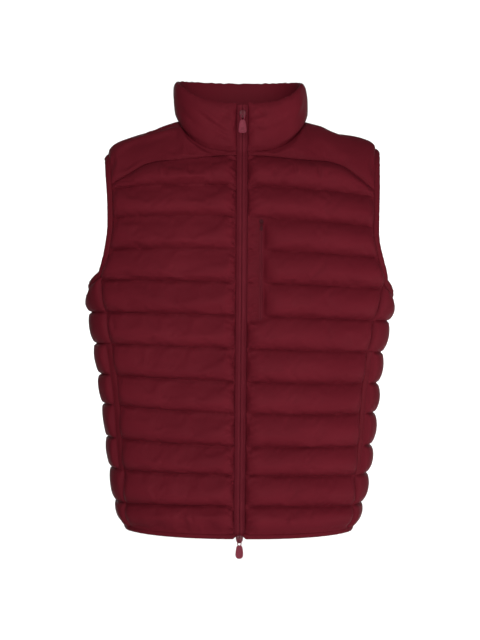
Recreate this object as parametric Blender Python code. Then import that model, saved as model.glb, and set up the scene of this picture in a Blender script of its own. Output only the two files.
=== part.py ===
"""A quilted puffer vest with a stand collar, hollow and open as it is when worn.

Metres, +Z up. The front faces -Y and the wearer's left is +X. The origin is midway between
the two neck points, at the level where the shoulders carry the vest.

Every cloth piece is a closed wall. Its plain inside lies on one body surface, which is made
from level sections below the chest and from arches over the shoulders above it. Its outside
is that surface moved out by the cloth's thickness and by the filling of each baffle.
"""

import math

import bmesh
import bpy
import numpy as np
from mathutils import Matrix, Vector

# ---------------------------------------------------------------- driving dimensions

QUILT_WALL = 0.0025  # both shells and pressed filling, at a seam
YOKE_WALL = 0.0035
COLLAR_WALL = 0.0035
SEAM_GAP = 0.0003

BAFFLE_FILL = 0.0085  # how far a full baffle stands out past its seams
YOKE_FILL = 0.0035
FULL_BAFFLE_HEIGHT = 0.045  # a lower baffle is filled less
END_ROUNDING = 0.013  # a baffle's end rounds down to its seam over this
YOKE_ROUNDING = 0.022

ZIP_HALF_WIDTH = 0.0095  # centre of the zip to the edge of a front
BINDING_WIDTH = 0.0115
HEM_DEPTH = 0.0090

FRONT, BACK = -1, 1
NECK_HALF_WIDTH = 0.102
NECK_DEPTH = {FRONT: 0.079, BACK: 0.070}
NECK_SQUARENESS = {FRONT: 3.0, BACK: 2.2}  # of the neckline seen from above
COLLAR_FLARE = 0.03  # outwards for each metre up
COLLAR_LEAN = 0.065  # of its sides and back, towards the wearer's right for each metre up
SQUARENESS = 2.7  # of the level sections: 2 is an ellipse
ARCH_FOOT = {FRONT: -0.240, BACK: -0.200}  # level where the chest starts to lean in
ARCH_POWER = {FRONT: 2.0, BACK: 2.3}

HANG_REACH = 0.22  # half width at which the values of HANG hold

class Table:
    """Rows of measurements with named columns, read along a smooth curve through the rows."""

    def __init__(self, columns, *rows):
        self.columns = columns.split()
        self.rows = np.array(sorted(rows))

    def read(self, column, at):
        places = self.rows[:, 0]
        values = self.rows[:, self.columns.index(column)]
        slopes = np.gradient(values, places)
        at = np.clip(at, places[0], places[-1])
        i = np.clip(np.searchsorted(places, at) - 1, 0, len(places) - 2)
        span = places[i + 1] - places[i]
        t = (at - places[i]) / span
        rise = t * t * (3 - 2 * t)
        bend = span * t * (1 - t) * ((1 - t) * slopes[i] - t * slopes[i + 1])
        return values[i] * (1 - rise) + values[i + 1] * rise + bend


# Level sections of the inside: half the width, and the depth before and behind the side.
SECTIONS = Table(
    "height half_width front_depth back_depth",
    (-0.700, 0.181, 0.101, 0.102),
    (-0.679, 0.1905, 0.104, 0.105),
    (-0.650, 0.200, 0.105, 0.106),
    (-0.563, 0.215, 0.107, 0.105),
    (-0.460, 0.227, 0.109, 0.105),
    (-0.406, 0.234, 0.111, 0.106),
    (-0.360, 0.242, 0.113, 0.109),
    (-0.300, 0.252, 0.115, 0.113),
    (-0.240, 0.260, 0.115, 0.116),
    (-0.100, 0.264, 0.115, 0.116),
    (0.100, 0.264, 0.115, 0.116),
)

# Top line of the shoulders on the inside. Within the neck it only guides the arches.
RIDGE = Table(
    "across front back",
    (0.000, 0.008, 0.042),
    (0.055, 0.003, 0.022),
    (0.102, -0.006, -0.006),
    (0.122, -0.0125, -0.0125),
    (0.143, -0.0205, -0.0205),
    (0.163, -0.0260, -0.0260),
    (0.184, -0.0312, -0.0312),
    (0.204, -0.0378, -0.0378),
    (0.215, -0.0432, -0.0432),
    (0.240, -0.0720, -0.0720),
)

# Edge of the fronts and back: the side seam, and above the armpit the armhole.
PANEL_EDGE = Table(
    "height across",
    (-0.690, 0.174),
    (-0.655, 0.184),
    (-0.600, 0.1875),
    (-0.520, 0.1940),
    (-0.461, 0.1970),
    (-0.420, 0.2025),
    (-0.370, 0.2105),
    (-0.315, 0.2215),
    (-0.270, 0.2300),
    (-0.236, 0.2212),
    (-0.200, 0.2136),
    (-0.165, 0.2132),
    (-0.114, 0.2163),
    (-0.045, 0.2245),
)

# Quilting seams: height beside the zip, and how much higher they reach the side seam.
QUILT_SEAMS = Table(
    "number height rise",
    (0, -0.6845, 0.0050),
    (1, -0.6399, -0.0010),
    (2, -0.5896, 0.0015),
    (3, -0.5426, 0.0040),
    (4, -0.4891, 0.0050),
    (5, -0.4372, 0.0030),
    (6, -0.3836, 0.0010),
    (7, -0.3301, 0.0000),
    (8, -0.2766, -0.0015),
    (9, -0.2231, -0.0050),
    (10, -0.1695, -0.0080),
    (11, -0.1176, -0.0095),
)
TOP_SEAM = 11
YOKE_LINE = 12  # the row number of the seam under the yoke

YOKE_SEAM = Table(
    "across front back",
    (0.000, -0.0670, -0.070),
    (0.030, -0.0680, -0.070),
    (0.070, -0.0715, -0.071),
    (0.110, -0.0750, -0.073),
    (0.145, -0.0775, -0.077),
    (0.165, -0.0838, -0.083),
    (0.185, -0.0965, -0.094),
    (0.205, -0.1105, -0.109),
    (0.220, -0.1210, -0.122),
)
YOKE_SEAM_END = -0.118  # its height where it meets the armhole

BAFFLE_STEPS = (0.0, 0.16, 0.5, 0.84)
SIDE_TOP_ROW = 8.16  # row of the fronts where the side panel's corner meets the armhole
ARMPIT = -0.297  # lowest point of the side panel's top edge
SHOULDER_EDGE = 0.2245

# Columns of the panels, as distances from their edges.
ZIP_SIDE_COLUMNS = (0.0, 0.004, 0.013, 0.0265, 0.0305, 0.0405)
SEAM_SIDE_COLUMNS = (0.014, 0.004, 0.0)
NECK_CORNER_COLUMN = 9  # the front column that runs to the neck point
BACK_NECK_COLUMNS = 4  # back columns from the centre to the neck point

POCKET_ROWS = (6.84, 10.0)  # the chest pocket lies between these rows
POCKET_FLAT = ZIP_SIDE_COLUMNS[3]  # the cloth is flat from the zip to here beside it
WELT_ROWS = (2.0, 6.0)
WELT_FLAT = 0.0095


# ---------------------------------------------------------------- body surface


def half_widths(z):
    return SECTIONS.read("half_width", z)


def depths(z, side):
    return SECTIONS.read("front_depth" if side == FRONT else "back_depth", z)


def ridge(x, side):
    return RIDGE.read("front" if side == FRONT else "back", np.abs(x))


def breadth(x, z, side):
    """Depth of the level section at x, with no arch."""
    inside = np.clip(1 - np.abs(x / half_widths(z)) ** SQUARENESS, 0, None)
    return depths(z, side) * inside ** (1 / SQUARENESS)


def climb(x, z, side):
    """How far z is up the arch at x: 0 at its foot and 1 on the shoulder."""
    foot = ARCH_FOOT[side]
    return np.clip((z - foot) / (ridge(x, side) - foot), 0, None)


def on_body(x, z, side):
    """Points of the front's or back's inside at x and z."""
    x, z = np.broadcast_arrays(x, z)
    power = ARCH_POWER[side]
    arch = np.clip(1 - climb(x, z, side) ** power, 0, None) ** (1 / power)
    return np.stack([x, side * breadth(x, z, side) * arch, z], axis=-1)


def body_level(points, side):
    """Zero on the front's or back's inside, and positive outside it."""
    x, y, z = np.moveaxis(points, -1, 0)
    power = ARCH_POWER[side]
    deep = np.abs(y / depths(z, side)) ** power
    flat = (breadth(x, z, side) / depths(z, side)) ** power
    return deep - flat * (1 - climb(x, z, side) ** power)


def flank_level(points, side):
    """One on the level sections, and more outside them. It takes points of both halves."""
    x, y, z = np.moveaxis(points, -1, 0)
    depth = np.where(y < 0, depths(z, FRONT), depths(z, BACK))
    return np.abs(x / half_widths(z)) ** SQUARENESS + np.abs(y / depth) ** SQUARENESS


def unit(vectors):
    return vectors / np.linalg.norm(vectors, axis=-1, keepdims=True)


def outward(points, level, side):
    """Unit normals, from the slope of a level function."""
    step = 2e-5
    slopes = [level(points + e, side) - level(points - e, side) for e in np.eye(3) * step]
    return unit(np.stack(slopes, axis=-1))


# The vest hangs a little askew: at each level the wearer's right is higher than the middle by
# the hitch, the shoulder's very end by the tip as well, and both sides lie to the wearer's
# left by the sway.
HANG = Table(
    "level hitch tip sway",
    (-0.700, 0.0000, 0.0000, 0.0000),
    (-0.660, 0.0000, 0.0000, 0.0000),
    (-0.560, 0.0045, 0.0000, 0.0000),
    (-0.300, 0.0045, 0.0000, 0.0000),
    (-0.280, 0.0045, 0.0000, 0.0010),
    (-0.262, 0.0045, 0.0000, 0.0034),
    (-0.200, 0.0045, 0.0000, 0.0030),
    (-0.125, 0.0045, 0.0000, 0.0024),
    (-0.095, -0.0007, -0.0003, 0.0016),
    (-0.060, -0.0015, -0.0038, 0.0010),
    (-0.030, -0.0015, -0.0045, 0.0000),
    (0.020, 0.0000, -0.0045, 0.0000),
    (0.080, 0.0000, -0.0045, 0.0000),
)


def hang(points):
    """Sets the vest askew, as it hangs."""
    level, share = points[..., 2], points[..., 0] / HANG_REACH
    moved = points.copy()
    moved[..., 2] -= HANG.read("hitch", level) * share + HANG.read("tip", level) * share**7
    moved[..., 0] += HANG.read("sway", level) * share**2
    return moved


# ---------------------------------------------------------------- making meshes

MATERIALS = {}


def finish(name, colour, roughness, metallic=0.0):
    material = bpy.data.materials.new(name)
    material.use_nodes = True
    shader = material.node_tree.nodes["Principled BSDF"]
    shader.inputs["Base Color"].default_value = (*colour, 1.0)
    shader.inputs["Roughness"].default_value = roughness
    shader.inputs["Metallic"].default_value = metallic
    MATERIALS[name] = material


def add_object(name, points, faces, material):
    """A mesh object with its faces turned outwards."""
    mesh = bpy.data.meshes.new(name)
    mesh.from_pydata([tuple(p) for p in points], [], [tuple(f) for f in faces])
    shape = bmesh.new()
    shape.from_mesh(mesh)
    bmesh.ops.delete(shape, geom=[v for v in shape.verts if not v.link_faces], context="VERTS")
    bmesh.ops.recalc_face_normals(shape, faces=shape.faces)
    shape.to_mesh(mesh)
    shape.free()
    mesh.materials.append(MATERIALS[material])
    mesh.shade_smooth()
    mesh.set_sharp_from_angle(angle=math.radians(60))
    made = bpy.data.objects.new(name, mesh)
    bpy.context.scene.collection.objects.link(made)
    return made


def grid_faces(numbers):
    """Four-sided faces between neighbours of a grid of vertex numbers."""
    a, b = numbers[:-1, :-1], numbers[:-1, 1:]
    c, d = numbers[1:, 1:], numbers[1:, :-1]
    return np.stack([a, b, c, d], axis=-1).reshape(-1, 4).tolist()


def rim_of(numbers):
    """The border of a grid of vertex numbers, in order."""
    sides = (numbers[0, :-1], numbers[:-1, -1], numbers[-1, :0:-1], numbers[:0:-1, 0])
    return np.concatenate(sides).tolist()


def rim_places(rows, columns):
    """Place of each border point, from 0 at the first corner through 1, 2 and 3 at the others."""
    tall = (np.array(rows) - rows[0]) / (rows[-1] - rows[0])
    wide = (np.array(columns) - columns[0]) / (columns[-1] - columns[0])
    return np.concatenate([wide[:-1], 1 + tall[:-1], 3 - wide[:0:-1], 4 - tall[:0:-1]])


def join_rims(outer, outer_places, inner, inner_places):
    """Triangles between two borders, always stepping along the one that is behind."""
    faces = []
    outer, inner = outer + outer[:1], inner + inner[:1]
    outer_places, inner_places = (np.append(places, 4.0) for places in (outer_places, inner_places))
    i = j = 0
    while i < len(outer) - 1 or j < len(inner) - 1:
        step_outer = j == len(inner) - 1
        if not step_outer and i < len(outer) - 1:
            step_outer = outer_places[i + 1] <= inner_places[j + 1]
        if step_outer:
            faces.append((outer[i], outer[i + 1], inner[j]))
            i += 1
        else:
            faces.append((outer[i], inner[j + 1], inner[j]))
            j += 1
    return faces


def add_wall(name, inside, outside, material, plain_rows=(), plain_columns=()):
    """A closed wall between two grids.

    Where plain rows and columns are named, the inside keeps its whole border, so that it fits
    its neighbours, but only those rows and columns within it.
    """
    rows, columns = inside.shape[:2]
    outer = np.arange(rows * columns).reshape(rows, columns)
    inner = outer + outer.size
    outer_rim, inner_rim = rim_of(outer), rim_of(inner)
    faces = grid_faces(outer)
    faces += list(zip(outer_rim, outer_rim[1:] + outer_rim[:1], inner_rim[1:] + inner_rim[:1], inner_rim))
    if plain_rows:
        kept = inner[np.ix_(plain_rows, plain_columns)]
        faces += grid_faces(kept)
        places = rim_places(range(rows), range(columns))
        kept_places = rim_places(plain_rows, plain_columns)
        faces += join_rims(inner_rim, places, rim_of(kept), kept_places)
    else:
        faces += grid_faces(inner)
    points = np.concatenate([outside.reshape(-1, 3), inside.reshape(-1, 3)])
    return add_object(name, hang(points), faces, material)


def add_strip(name, stations, normals, reaches, profile, closed, material):
    """A strip with one cross-section, given as (reach, lift) pairs, carried along stations."""
    sections = np.stack([stations + reaches * reach + normals * lift for reach, lift in profile], axis=1)
    count, around = sections.shape[:2]
    numbers = np.arange(count * around).reshape(count, around)
    if closed:
        numbers = np.concatenate([numbers, numbers[:1]])
    turned = np.concatenate([numbers, numbers[:, :1]], axis=1)
    faces = grid_faces(turned)
    if not closed:
        faces += [numbers[0].tolist(), numbers[-1].tolist()]
    return add_object(name, hang(sections.reshape(-1, 3)), faces, material)


def spread_columns(start, end, from_start, between, from_end):
    """Columns at fixed distances from two edges, with evenly spaced ones between."""
    start, end = np.broadcast_arrays(start, end)
    near = [start + d for d in from_start]
    far = [end - d for d in from_end]
    middle = [near[-1] + (far[0] - near[-1]) * (k + 1) / (between + 1) for k in range(between)]
    return np.stack(near + middle + far, axis=-1)


def edge_distances(points):
    """Distance of each grid point from its row's first and last point, along the row."""
    steps = np.linalg.norm(np.diff(points, axis=1), axis=-1)
    from_first = np.concatenate([np.zeros((len(points), 1)), np.cumsum(steps, axis=1)], axis=1)
    return from_first, from_first[:, -1:] - from_first


def rounding(distance, reach):
    """A quarter round: 0 at an edge, and 1 from `reach` on."""
    return np.sqrt(1 - (1 - np.clip(distance / reach, 0, 1)) ** 2)


# ---------------------------------------------------------------- quilted panels


def panel_rows(last):
    """Row numbers from the hem seam up: each seam, and the steps across each baffle."""
    rows = [k + step for k in range(YOKE_LINE) for step in BAFFLE_STEPS] + [YOKE_LINE]
    return np.array([row for row in rows if row <= last + 1e-9])


def seam_heights(number, across):
    """Height of a quilting seam at a share of the way from the zip to the side seam."""
    return QUILT_SEAMS.read("height", number) + QUILT_SEAMS.read("rise", number) * across**2


def row_heights(rows, across, yoke_seam):
    """Heights of the rows. `across` has a value for each column, and so has the yoke seam."""
    below = np.floor(rows).astype(int)
    part = (rows - below)[:, None]
    low = seam_heights(np.minimum(below, TOP_SEAM)[:, None], across)
    high = seam_heights(np.minimum(below + 1, TOP_SEAM)[:, None], across)
    high = np.where((below >= TOP_SEAM)[:, None], yoke_seam, high)
    low = np.where((below >= YOKE_LINE)[:, None], yoke_seam, low)
    return low + (high - low) * part, high - low


def baffle_fill(rows, heights):
    """Fill across each baffle: round from seam to seam, and less where the baffle is low."""
    part = (rows - np.floor(rows))[:, None]
    across = np.sqrt(np.clip(1 - (2 * part - 1) ** 2, 0, 1))
    return BAFFLE_FILL * across * np.clip(np.abs(heights) / FULL_BAFFLE_HEIGHT, 0, 1)


def inner_seams(rows):
    """Grid rows that lie on a seam, for the plain inside, without the borders."""
    return [i for i, row in enumerate(rows) if row == int(row) and 0 < i < len(rows) - 1]


def edge_at(rows):
    """Height and place of the panels' edge for each row."""
    z = row_heights(rows, np.ones(1), np.full(1, YOKE_SEAM_END))[0][:, 0]
    return z, PANEL_EDGE.read("across", z)


def front_grid():
    """Rows, heights and inside points of the wearer's left front."""
    rows = panel_rows(YOKE_LINE)
    edge = edge_at(rows)[1]
    x = spread_columns(ZIP_HALF_WIDTH, edge, ZIP_SIDE_COLUMNS, 6, SEAM_SIDE_COLUMNS)
    across = (x[0] - x[0, 0]) / (x[0, -1] - x[0, 0])
    z, heights = row_heights(rows, across, YOKE_SEAM.read("front", x[-1]))
    return rows, heights, on_body(x, z, FRONT)


def make_front(name, mirror, has_pocket):
    rows, heights, inside = front_grid()
    normals = outward(inside, body_level, FRONT)
    from_zip, from_seam = edge_distances(inside)
    if has_pocket:
        beside = (rows >= POCKET_ROWS[0] - 1e-9) & (rows <= POCKET_ROWS[1] + 1e-9)
        from_zip = np.where(beside[:, None], from_zip - POCKET_FLAT, from_zip)
    fill = baffle_fill(rows, heights) * rounding(from_zip, END_ROUNDING) * rounding(from_seam, END_ROUNDING)
    outside = inside + normals * (QUILT_WALL + fill)[..., None]
    flip = np.array([-1.0 if mirror else 1.0, 1, 1])
    add_wall(name, inside * flip, outside * flip, "shell", inner_seams(rows), [2, 5, 7, 9, 11, 12])
    return rows, inside * flip, normals * flip, outside * flip


def make_back():
    rows = panel_rows(YOKE_LINE)
    edge = edge_at(rows)[1]
    x = spread_columns(-edge, edge, SEAM_SIDE_COLUMNS[::-1], 11, SEAM_SIDE_COLUMNS)
    z, heights = row_heights(rows, np.ones(x.shape[1]), YOKE_SEAM.read("back", np.abs(x[-1])))
    inside = on_body(x, z, BACK)
    normals = outward(inside, body_level, BACK)
    near, far = edge_distances(inside)
    fill = baffle_fill(rows, heights) * rounding(near, END_ROUNDING) * rounding(far, END_ROUNDING)
    outside = inside + normals * (QUILT_WALL + fill)[..., None]
    add_wall("back", inside, outside, "shell", inner_seams(rows), [2, 4, 6, 8, 10, 12, 14])
    return rows, inside, normals, outside


def make_side_panel(name, mirror):
    rows = panel_rows(SIDE_TOP_ROW)
    border, edge = edge_at(rows)
    front_y = -on_body(edge, border, FRONT)[:, 1]
    back_y = on_body(edge, border, BACK)[:, 1]
    y = spread_columns(
        -front_y + SEAM_GAP, back_y - SEAM_GAP, (0.0, WELT_FLAT, 0.0135, 0.0235), 2, SEAM_SIDE_COLUMNS
    )
    # The top edge dips to the armpit, and the rows of the last baffle follow it.
    top = np.floor(SIDE_TOP_ROW) - 1
    last = rows >= top - 1e-9
    sideways = np.where(y < 0, y / front_y[:, None], y / back_y[:, None])
    corner, foot = border[-1], border[last][0]
    top_edge = ARMPIT + (corner - ARMPIT) * sideways**2
    z = np.repeat(border[:, None], y.shape[1], axis=1)
    share = ((border - foot) / (corner - foot))[:, None]
    z = np.where(last[:, None], foot + (top_edge - foot) * share, z)
    depth = np.where(y < 0, depths(z, FRONT), depths(z, BACK))
    x = half_widths(z) * (1 - np.abs(y / depth) ** SQUARENESS) ** (1 / SQUARENESS)
    inside = np.stack([x, y, z], axis=-1)
    normals = outward(inside, flank_level, FRONT)
    part = np.where(last, np.clip(share[:, 0], 0, 1), rows - np.floor(rows))[:, None]
    across = np.sqrt(np.clip(1 - (2 * part - 1) ** 2, 0, 1))
    near, far = edge_distances(inside)
    beside = (rows >= WELT_ROWS[0] - 1e-9) & (rows <= WELT_ROWS[1] + 1e-9)
    near = np.where(beside[:, None], near - near[:, 1:2], near)
    fill = BAFFLE_FILL * across * rounding(near, END_ROUNDING) * rounding(far, END_ROUNDING)
    outside = inside + normals * (QUILT_WALL + fill)[..., None]
    flip = np.array([-1.0 if mirror else 1.0, 1, 1])
    add_wall(name, inside * flip, outside * flip, "shell", inner_seams(rows), [2, 4, 6])
    return rows, inside * flip, normals * flip, outside * flip


# ---------------------------------------------------------------- yokes


def neck_line(angle, side):
    """Inside points of the neckline, at angles from the centre front or back to the neck point."""
    x = NECK_HALF_WIDTH * np.sin(angle) ** (2 / NECK_SQUARENESS[side])
    y = NECK_DEPTH[side] * np.abs(np.cos(angle)) ** (2 / NECK_SQUARENESS[side])
    z = np.full_like(x, -0.05)
    power = ARCH_POWER[side]
    for _ in range(6):
        share = np.clip(1 - (y / breadth(x, z, side)) ** power, 0, 1) ** (1 / power)
        z = ARCH_FOOT[side] + (ridge(x, side) - ARCH_FOOT[side]) * share
    return x, z


def arch_angle(x, z, side):
    return np.arcsin(np.clip(climb(x, z, side), 0, 1) ** (ARCH_POWER[side] / 2))


def yoke_grid(seam_x, neck_angles, side):
    """Inside points between the yoke seam and the neck and shoulder, for x from the centre out."""
    seam_z = YOKE_SEAM.read("front" if side == FRONT else "back", seam_x) + 1.3 * SEAM_GAP
    neck_x, neck_z = neck_line(neck_angles, side)
    corner = len(neck_angles) - 1
    out = (seam_x[corner + 1 :] - seam_x[corner]) / (seam_x[-1] - seam_x[corner])
    top_x = np.concatenate([neck_x, NECK_HALF_WIDTH + (SHOULDER_EDGE - NECK_HALF_WIDTH) * out])
    top_angle = np.full(len(seam_x), math.pi / 2)
    top_angle[:corner] = arch_angle(neck_x, neck_z, side)[:corner]
    v = np.array([0.0, 0.14, 0.36, 0.62, 0.86, 1.0])[:, None]
    x = seam_x + (top_x - seam_x) * v
    seam_angle = arch_angle(seam_x, seam_z, side)
    angle = seam_angle + (top_angle - seam_angle) * v
    power = ARCH_POWER[side]
    z = ARCH_FOOT[side] + (ridge(x, side) - ARCH_FOOT[side]) * np.sin(angle) ** (2 / power)
    y = breadth(x, z, side) * np.clip(np.cos(angle), 0, 1) ** (2 / power)
    return np.stack([x, side * (y + SEAM_GAP / 2), z], axis=-1)


def fill_yoke(inside, side):
    normals = outward(inside, body_level, side)
    near, far = edge_distances(inside)
    low, high = (d.T for d in edge_distances(inside.transpose(1, 0, 2)))
    fill = YOKE_FILL * np.ones(inside.shape[:2])
    for distance in (near, far, low, high):
        fill = fill * rounding(distance, YOKE_ROUNDING)
    return normals, inside + normals * (YOKE_WALL + fill)[..., None]


def make_front_yoke(name, mirror):
    seam_x = front_grid()[2][-1, :, 0]
    straight = len(ZIP_SIDE_COLUMNS)
    angles = np.arcsin((seam_x[:straight] / NECK_HALF_WIDTH) ** (NECK_SQUARENESS[FRONT] / 2))
    steps = np.linspace(angles[-1], math.pi / 2, NECK_CORNER_COLUMN - straight + 2)[1:]
    inside = yoke_grid(seam_x, np.concatenate([angles, steps]), FRONT)
    normals, outside = fill_yoke(inside, FRONT)
    flip = np.array([-1.0 if mirror else 1.0, 1, 1])
    add_wall(name, inside * flip, outside * flip, "yoke", [2, 3], [3, 6, 7, 8, 9, 10, 11, 12])
    return inside * flip, normals * flip, outside * flip


def make_back_yoke(back_inside):
    seam_x = back_inside[-1, :, 0]
    middle = len(seam_x) // 2
    half_x = seam_x[middle:]
    angles = np.linspace(0, math.pi / 2, BACK_NECK_COLUMNS + 1)
    half = yoke_grid(half_x, angles, BACK)
    other = half[:, :0:-1] * np.array([-1, 1, 1])
    inside = np.concatenate([other, half], axis=1)
    normals, outside = fill_yoke(inside, BACK)
    add_wall("yoke_back", inside, outside, "yoke", [2, 3], list(range(2, len(seam_x) - 2)))
    return inside, normals, outside


# ---------------------------------------------------------------- collar, bindings and hem


def directions(stations, normals, closed, towards):
    """Unit vectors in the surface, square to the run of the stations, on the side of `towards`."""
    if closed:
        along = np.roll(stations, -1, axis=0) - np.roll(stations, 1, axis=0)
    else:
        along = np.gradient(stations, axis=0)
    reach = unit(np.cross(normals, along))
    sign = np.sign(np.sum(reach * (towards - stations), axis=-1, keepdims=True))
    return reach * sign


# Level of the collar's top edge, by its place from front to back. It falls away in front.
COLLAR_TOP = Table(
    "place level",
    (-0.0790, 0.0202),
    (-0.0770, 0.0226),
    (-0.0685, 0.0322),
    (-0.0550, 0.0455),
    (-0.0350, 0.0585),
    (0.0000, 0.0665),
    (0.0300, 0.0728),
    (0.0520, 0.0757),
    (0.0700, 0.0768),
)

# Rows of the collar as shares of its height. Its top edge is rounded over.
COLLAR_ROWS = Table(
    "height fill",
    (0.00, 0.0),
    (0.14, 0.0035),
    (0.47, 0.0060),
    (0.77, 0.0052),
    (0.925, 0.0028),
    (1.00, 0.0),
)


def make_collar(yoke_left, yoke_right, yoke_back):
    corner = NECK_CORNER_COLUMN
    middle = yoke_back[0].shape[1] // 2
    back = slice(middle + BACK_NECK_COLUMNS - 1, middle - BACK_NECK_COLUMNS, -1)
    line, normals = (
        np.concatenate(
            [yoke_left[k][-1, : corner + 1], yoke_back[k][-1, back], yoke_right[k][-1, corner::-1]]
        )
        for k in (0, 1)
    )
    in_front = line[:, 1] < 0
    depth = np.where(in_front, NECK_DEPTH[FRONT], NECK_DEPTH[BACK])
    power = np.where(in_front, NECK_SQUARENESS[FRONT], NECK_SQUARENESS[BACK]) - 1
    across, along = line[:, 0] / NECK_HALF_WIDTH, line[:, 1] / depth
    slope_x = np.sign(across) * np.abs(across) ** power / NECK_HALF_WIDTH
    slope_y = np.sign(along) * np.abs(along) ** power / depth
    level_out = unit(np.stack([slope_x, slope_y, 0 * depth], axis=-1))
    tall = (COLLAR_TOP.read("level", line[:, 1]) - line[:, 2])[:, None]
    reach = directions(line, normals, False, line - level_out * 0.1 + [0, 0, 0.1])
    foot = line + reach * SEAM_GAP
    askew = np.clip((line[:, 1] + NECK_DEPTH[FRONT]) / 0.044, 0, 1)
    askew = (askew * askew * (3 - 2 * askew))[:, None] * [-COLLAR_LEAN, 0, 0]
    up = np.array([0, 0, 1.0]) + askew
    inside, outside = [], []
    for height, fill in COLLAR_ROWS.rows:
        rise = foot + (up + level_out * COLLAR_FLARE) * height * tall
        lean = normals if height == 0 else level_out
        inside.append(rise)
        outside.append([rise, lean, fill])
    from_end, to_end = edge_distances(np.array(inside))
    ends = rounding(from_end, END_ROUNDING) * rounding(to_end, END_ROUNDING)
    outside = np.array(
        [
            rise + lean * (COLLAR_WALL + fill * end)[:, None]
            for (rise, lean, fill), end in zip(outside, ends)
        ]
    )
    inside = np.array(inside)
    add_wall("collar", inside, outside, "shell", [2, 4], list(range(1, inside.shape[1] - 1)))
    return inside, outside


BINDING_PROFILE = (
    (SEAM_GAP, 0.0),
    (SEAM_GAP, QUILT_WALL),
    (0.003, 0.0045),
    (0.009, 0.0042),
    (BINDING_WIDTH, 0.0015),
    (0.009, -0.0012),
    (0.003, -0.0010),
)

HEM_PROFILE = (
    (SEAM_GAP, 0.0),
    (SEAM_GAP, QUILT_WALL),
    (0.0025, 0.0050),
    (0.0068, 0.0050),
    (HEM_DEPTH, 0.0022),
    (0.0068, -0.0010),
)


def make_armhole_binding(name, front, side, back, front_yoke, back_yoke, back_column):
    """One closed ring along the panels' armhole edges."""
    rows = front[0]
    above = rows > SIDE_TOP_ROW - 1e-9
    pieces = []
    for k in (1, 2):
        up_front = front[k][above][:, -1]
        over_front = front_yoke[k - 1][1:-1, -1]
        over_back = back_yoke[k - 1][:0:-1, back_column]
        down_back = back[k][above][::-1, back_column]
        across = side[k][-1, -2:0:-1]
        pieces.append(np.concatenate([up_front, over_front, over_back, down_back, across]))
    stations, normals = pieces
    middle = stations.mean(axis=0)
    reach = directions(stations, normals, True, middle)
    add_strip(name, stations, normals, reach, BINDING_PROFILE, True, "binding")


def make_hem(front_left, side_left, back, side_right, front_right):
    stations, normals = (
        np.concatenate(
            [
                front_left[k][0],
                side_left[k][0, 1:-1],
                back[k][0, ::-1],
                side_right[k][0, -2:0:-1],
                front_right[k][0, ::-1],
            ]
        )
        for k in (1, 2)
    )
    reach = directions(stations, normals, False, stations - [0, 0, 1.0])
    add_strip("hem_binding", stations, normals, reach, HEM_PROFILE, False, "binding")


# ---------------------------------------------------------------- zips and pockets

TAPE_INNER = 0.0019
TAPE_OUTER = ZIP_HALF_WIDTH - SEAM_GAP
TAPE_THICKNESS = 0.0018
CHAIN_HALF_WIDTH = 0.0016
CHAIN_THICKNESS = 0.0034
ZIP_TOP_MARGIN = 0.003  # the zip ends this far under the collar's edge


def zip_grid(columns):
    """Rows of points up the centre front, on the body and then on the collar, with normals."""
    neck = neck_line(np.zeros(1), FRONT)[1][0]
    hem = QUILT_SEAMS.read("height", 0) - HEM_DEPTH
    seams = QUILT_SEAMS.read("height", np.arange(TOP_SEAM + 1))
    body_z = np.concatenate([[hem], seams, [-0.092, YOKE_SEAM.read("front", 0.0), neck]])
    top = COLLAR_TOP.read("level", -NECK_DEPTH[FRONT]) - neck
    collar_z = neck + np.append(COLLAR_ROWS.rows[1:-2, 0] * top, top - ZIP_TOP_MARGIN)
    x = np.array(columns)
    body = on_body(x, body_z[:, None], FRONT)
    normals = outward(body, body_level, FRONT)
    rise = np.stack(np.broadcast_arrays(x, 0.0, collar_z[:, None]), axis=-1).astype(float)
    rise[..., 1] = body[-1, :, 1] - COLLAR_FLARE * (collar_z - neck)[:, None]
    level = np.broadcast_to([0.0, -1.0, 0.0], rise.shape)
    return np.concatenate([body, rise]), np.concatenate([normals, level])


def make_zip():
    for name, flip in (("zip_tape_left", 1.0), ("zip_tape_right", -1.0)):
        inside, normals = zip_grid([TAPE_INNER, TAPE_OUTER])
        outside = inside + normals * TAPE_THICKNESS
        mirror = np.array([flip, 1, 1])
        add_wall(name, inside * mirror, outside * mirror, "tape")
    inside, normals = zip_grid([-CHAIN_HALF_WIDTH, 0.0, CHAIN_HALF_WIDTH])
    thickness = CHAIN_THICKNESS * np.array([0.8, 1.0, 0.8])[None, :, None]
    add_wall("zip_chain", inside, inside + normals * thickness, "chain")


def lie_on(outside, rows, between, shares, span, thickness, name, material):
    """A thin strip on a panel's outside, between two of its columns and two of its rows."""
    kept = (rows >= span[0] - 1e-9) & (rows <= span[1] + 1e-9)
    a, b = outside[kept][:, between[0]], outside[kept][:, between[1]]
    seat = a[:, None] + (b - a)[:, None] * np.array(shares)[None, :, None]
    along = np.gradient(seat, axis=0)
    wide = np.broadcast_to((b - a)[:, None], seat.shape)
    normals = unit(np.cross(along, wide))
    normals *= np.sign(np.sum(normals * seat * [1, 1, 0], axis=-1, keepdims=True))
    inside = seat + normals * SEAM_GAP
    add_wall(name, inside, inside + normals * thickness, material)
    return inside, normals


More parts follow.
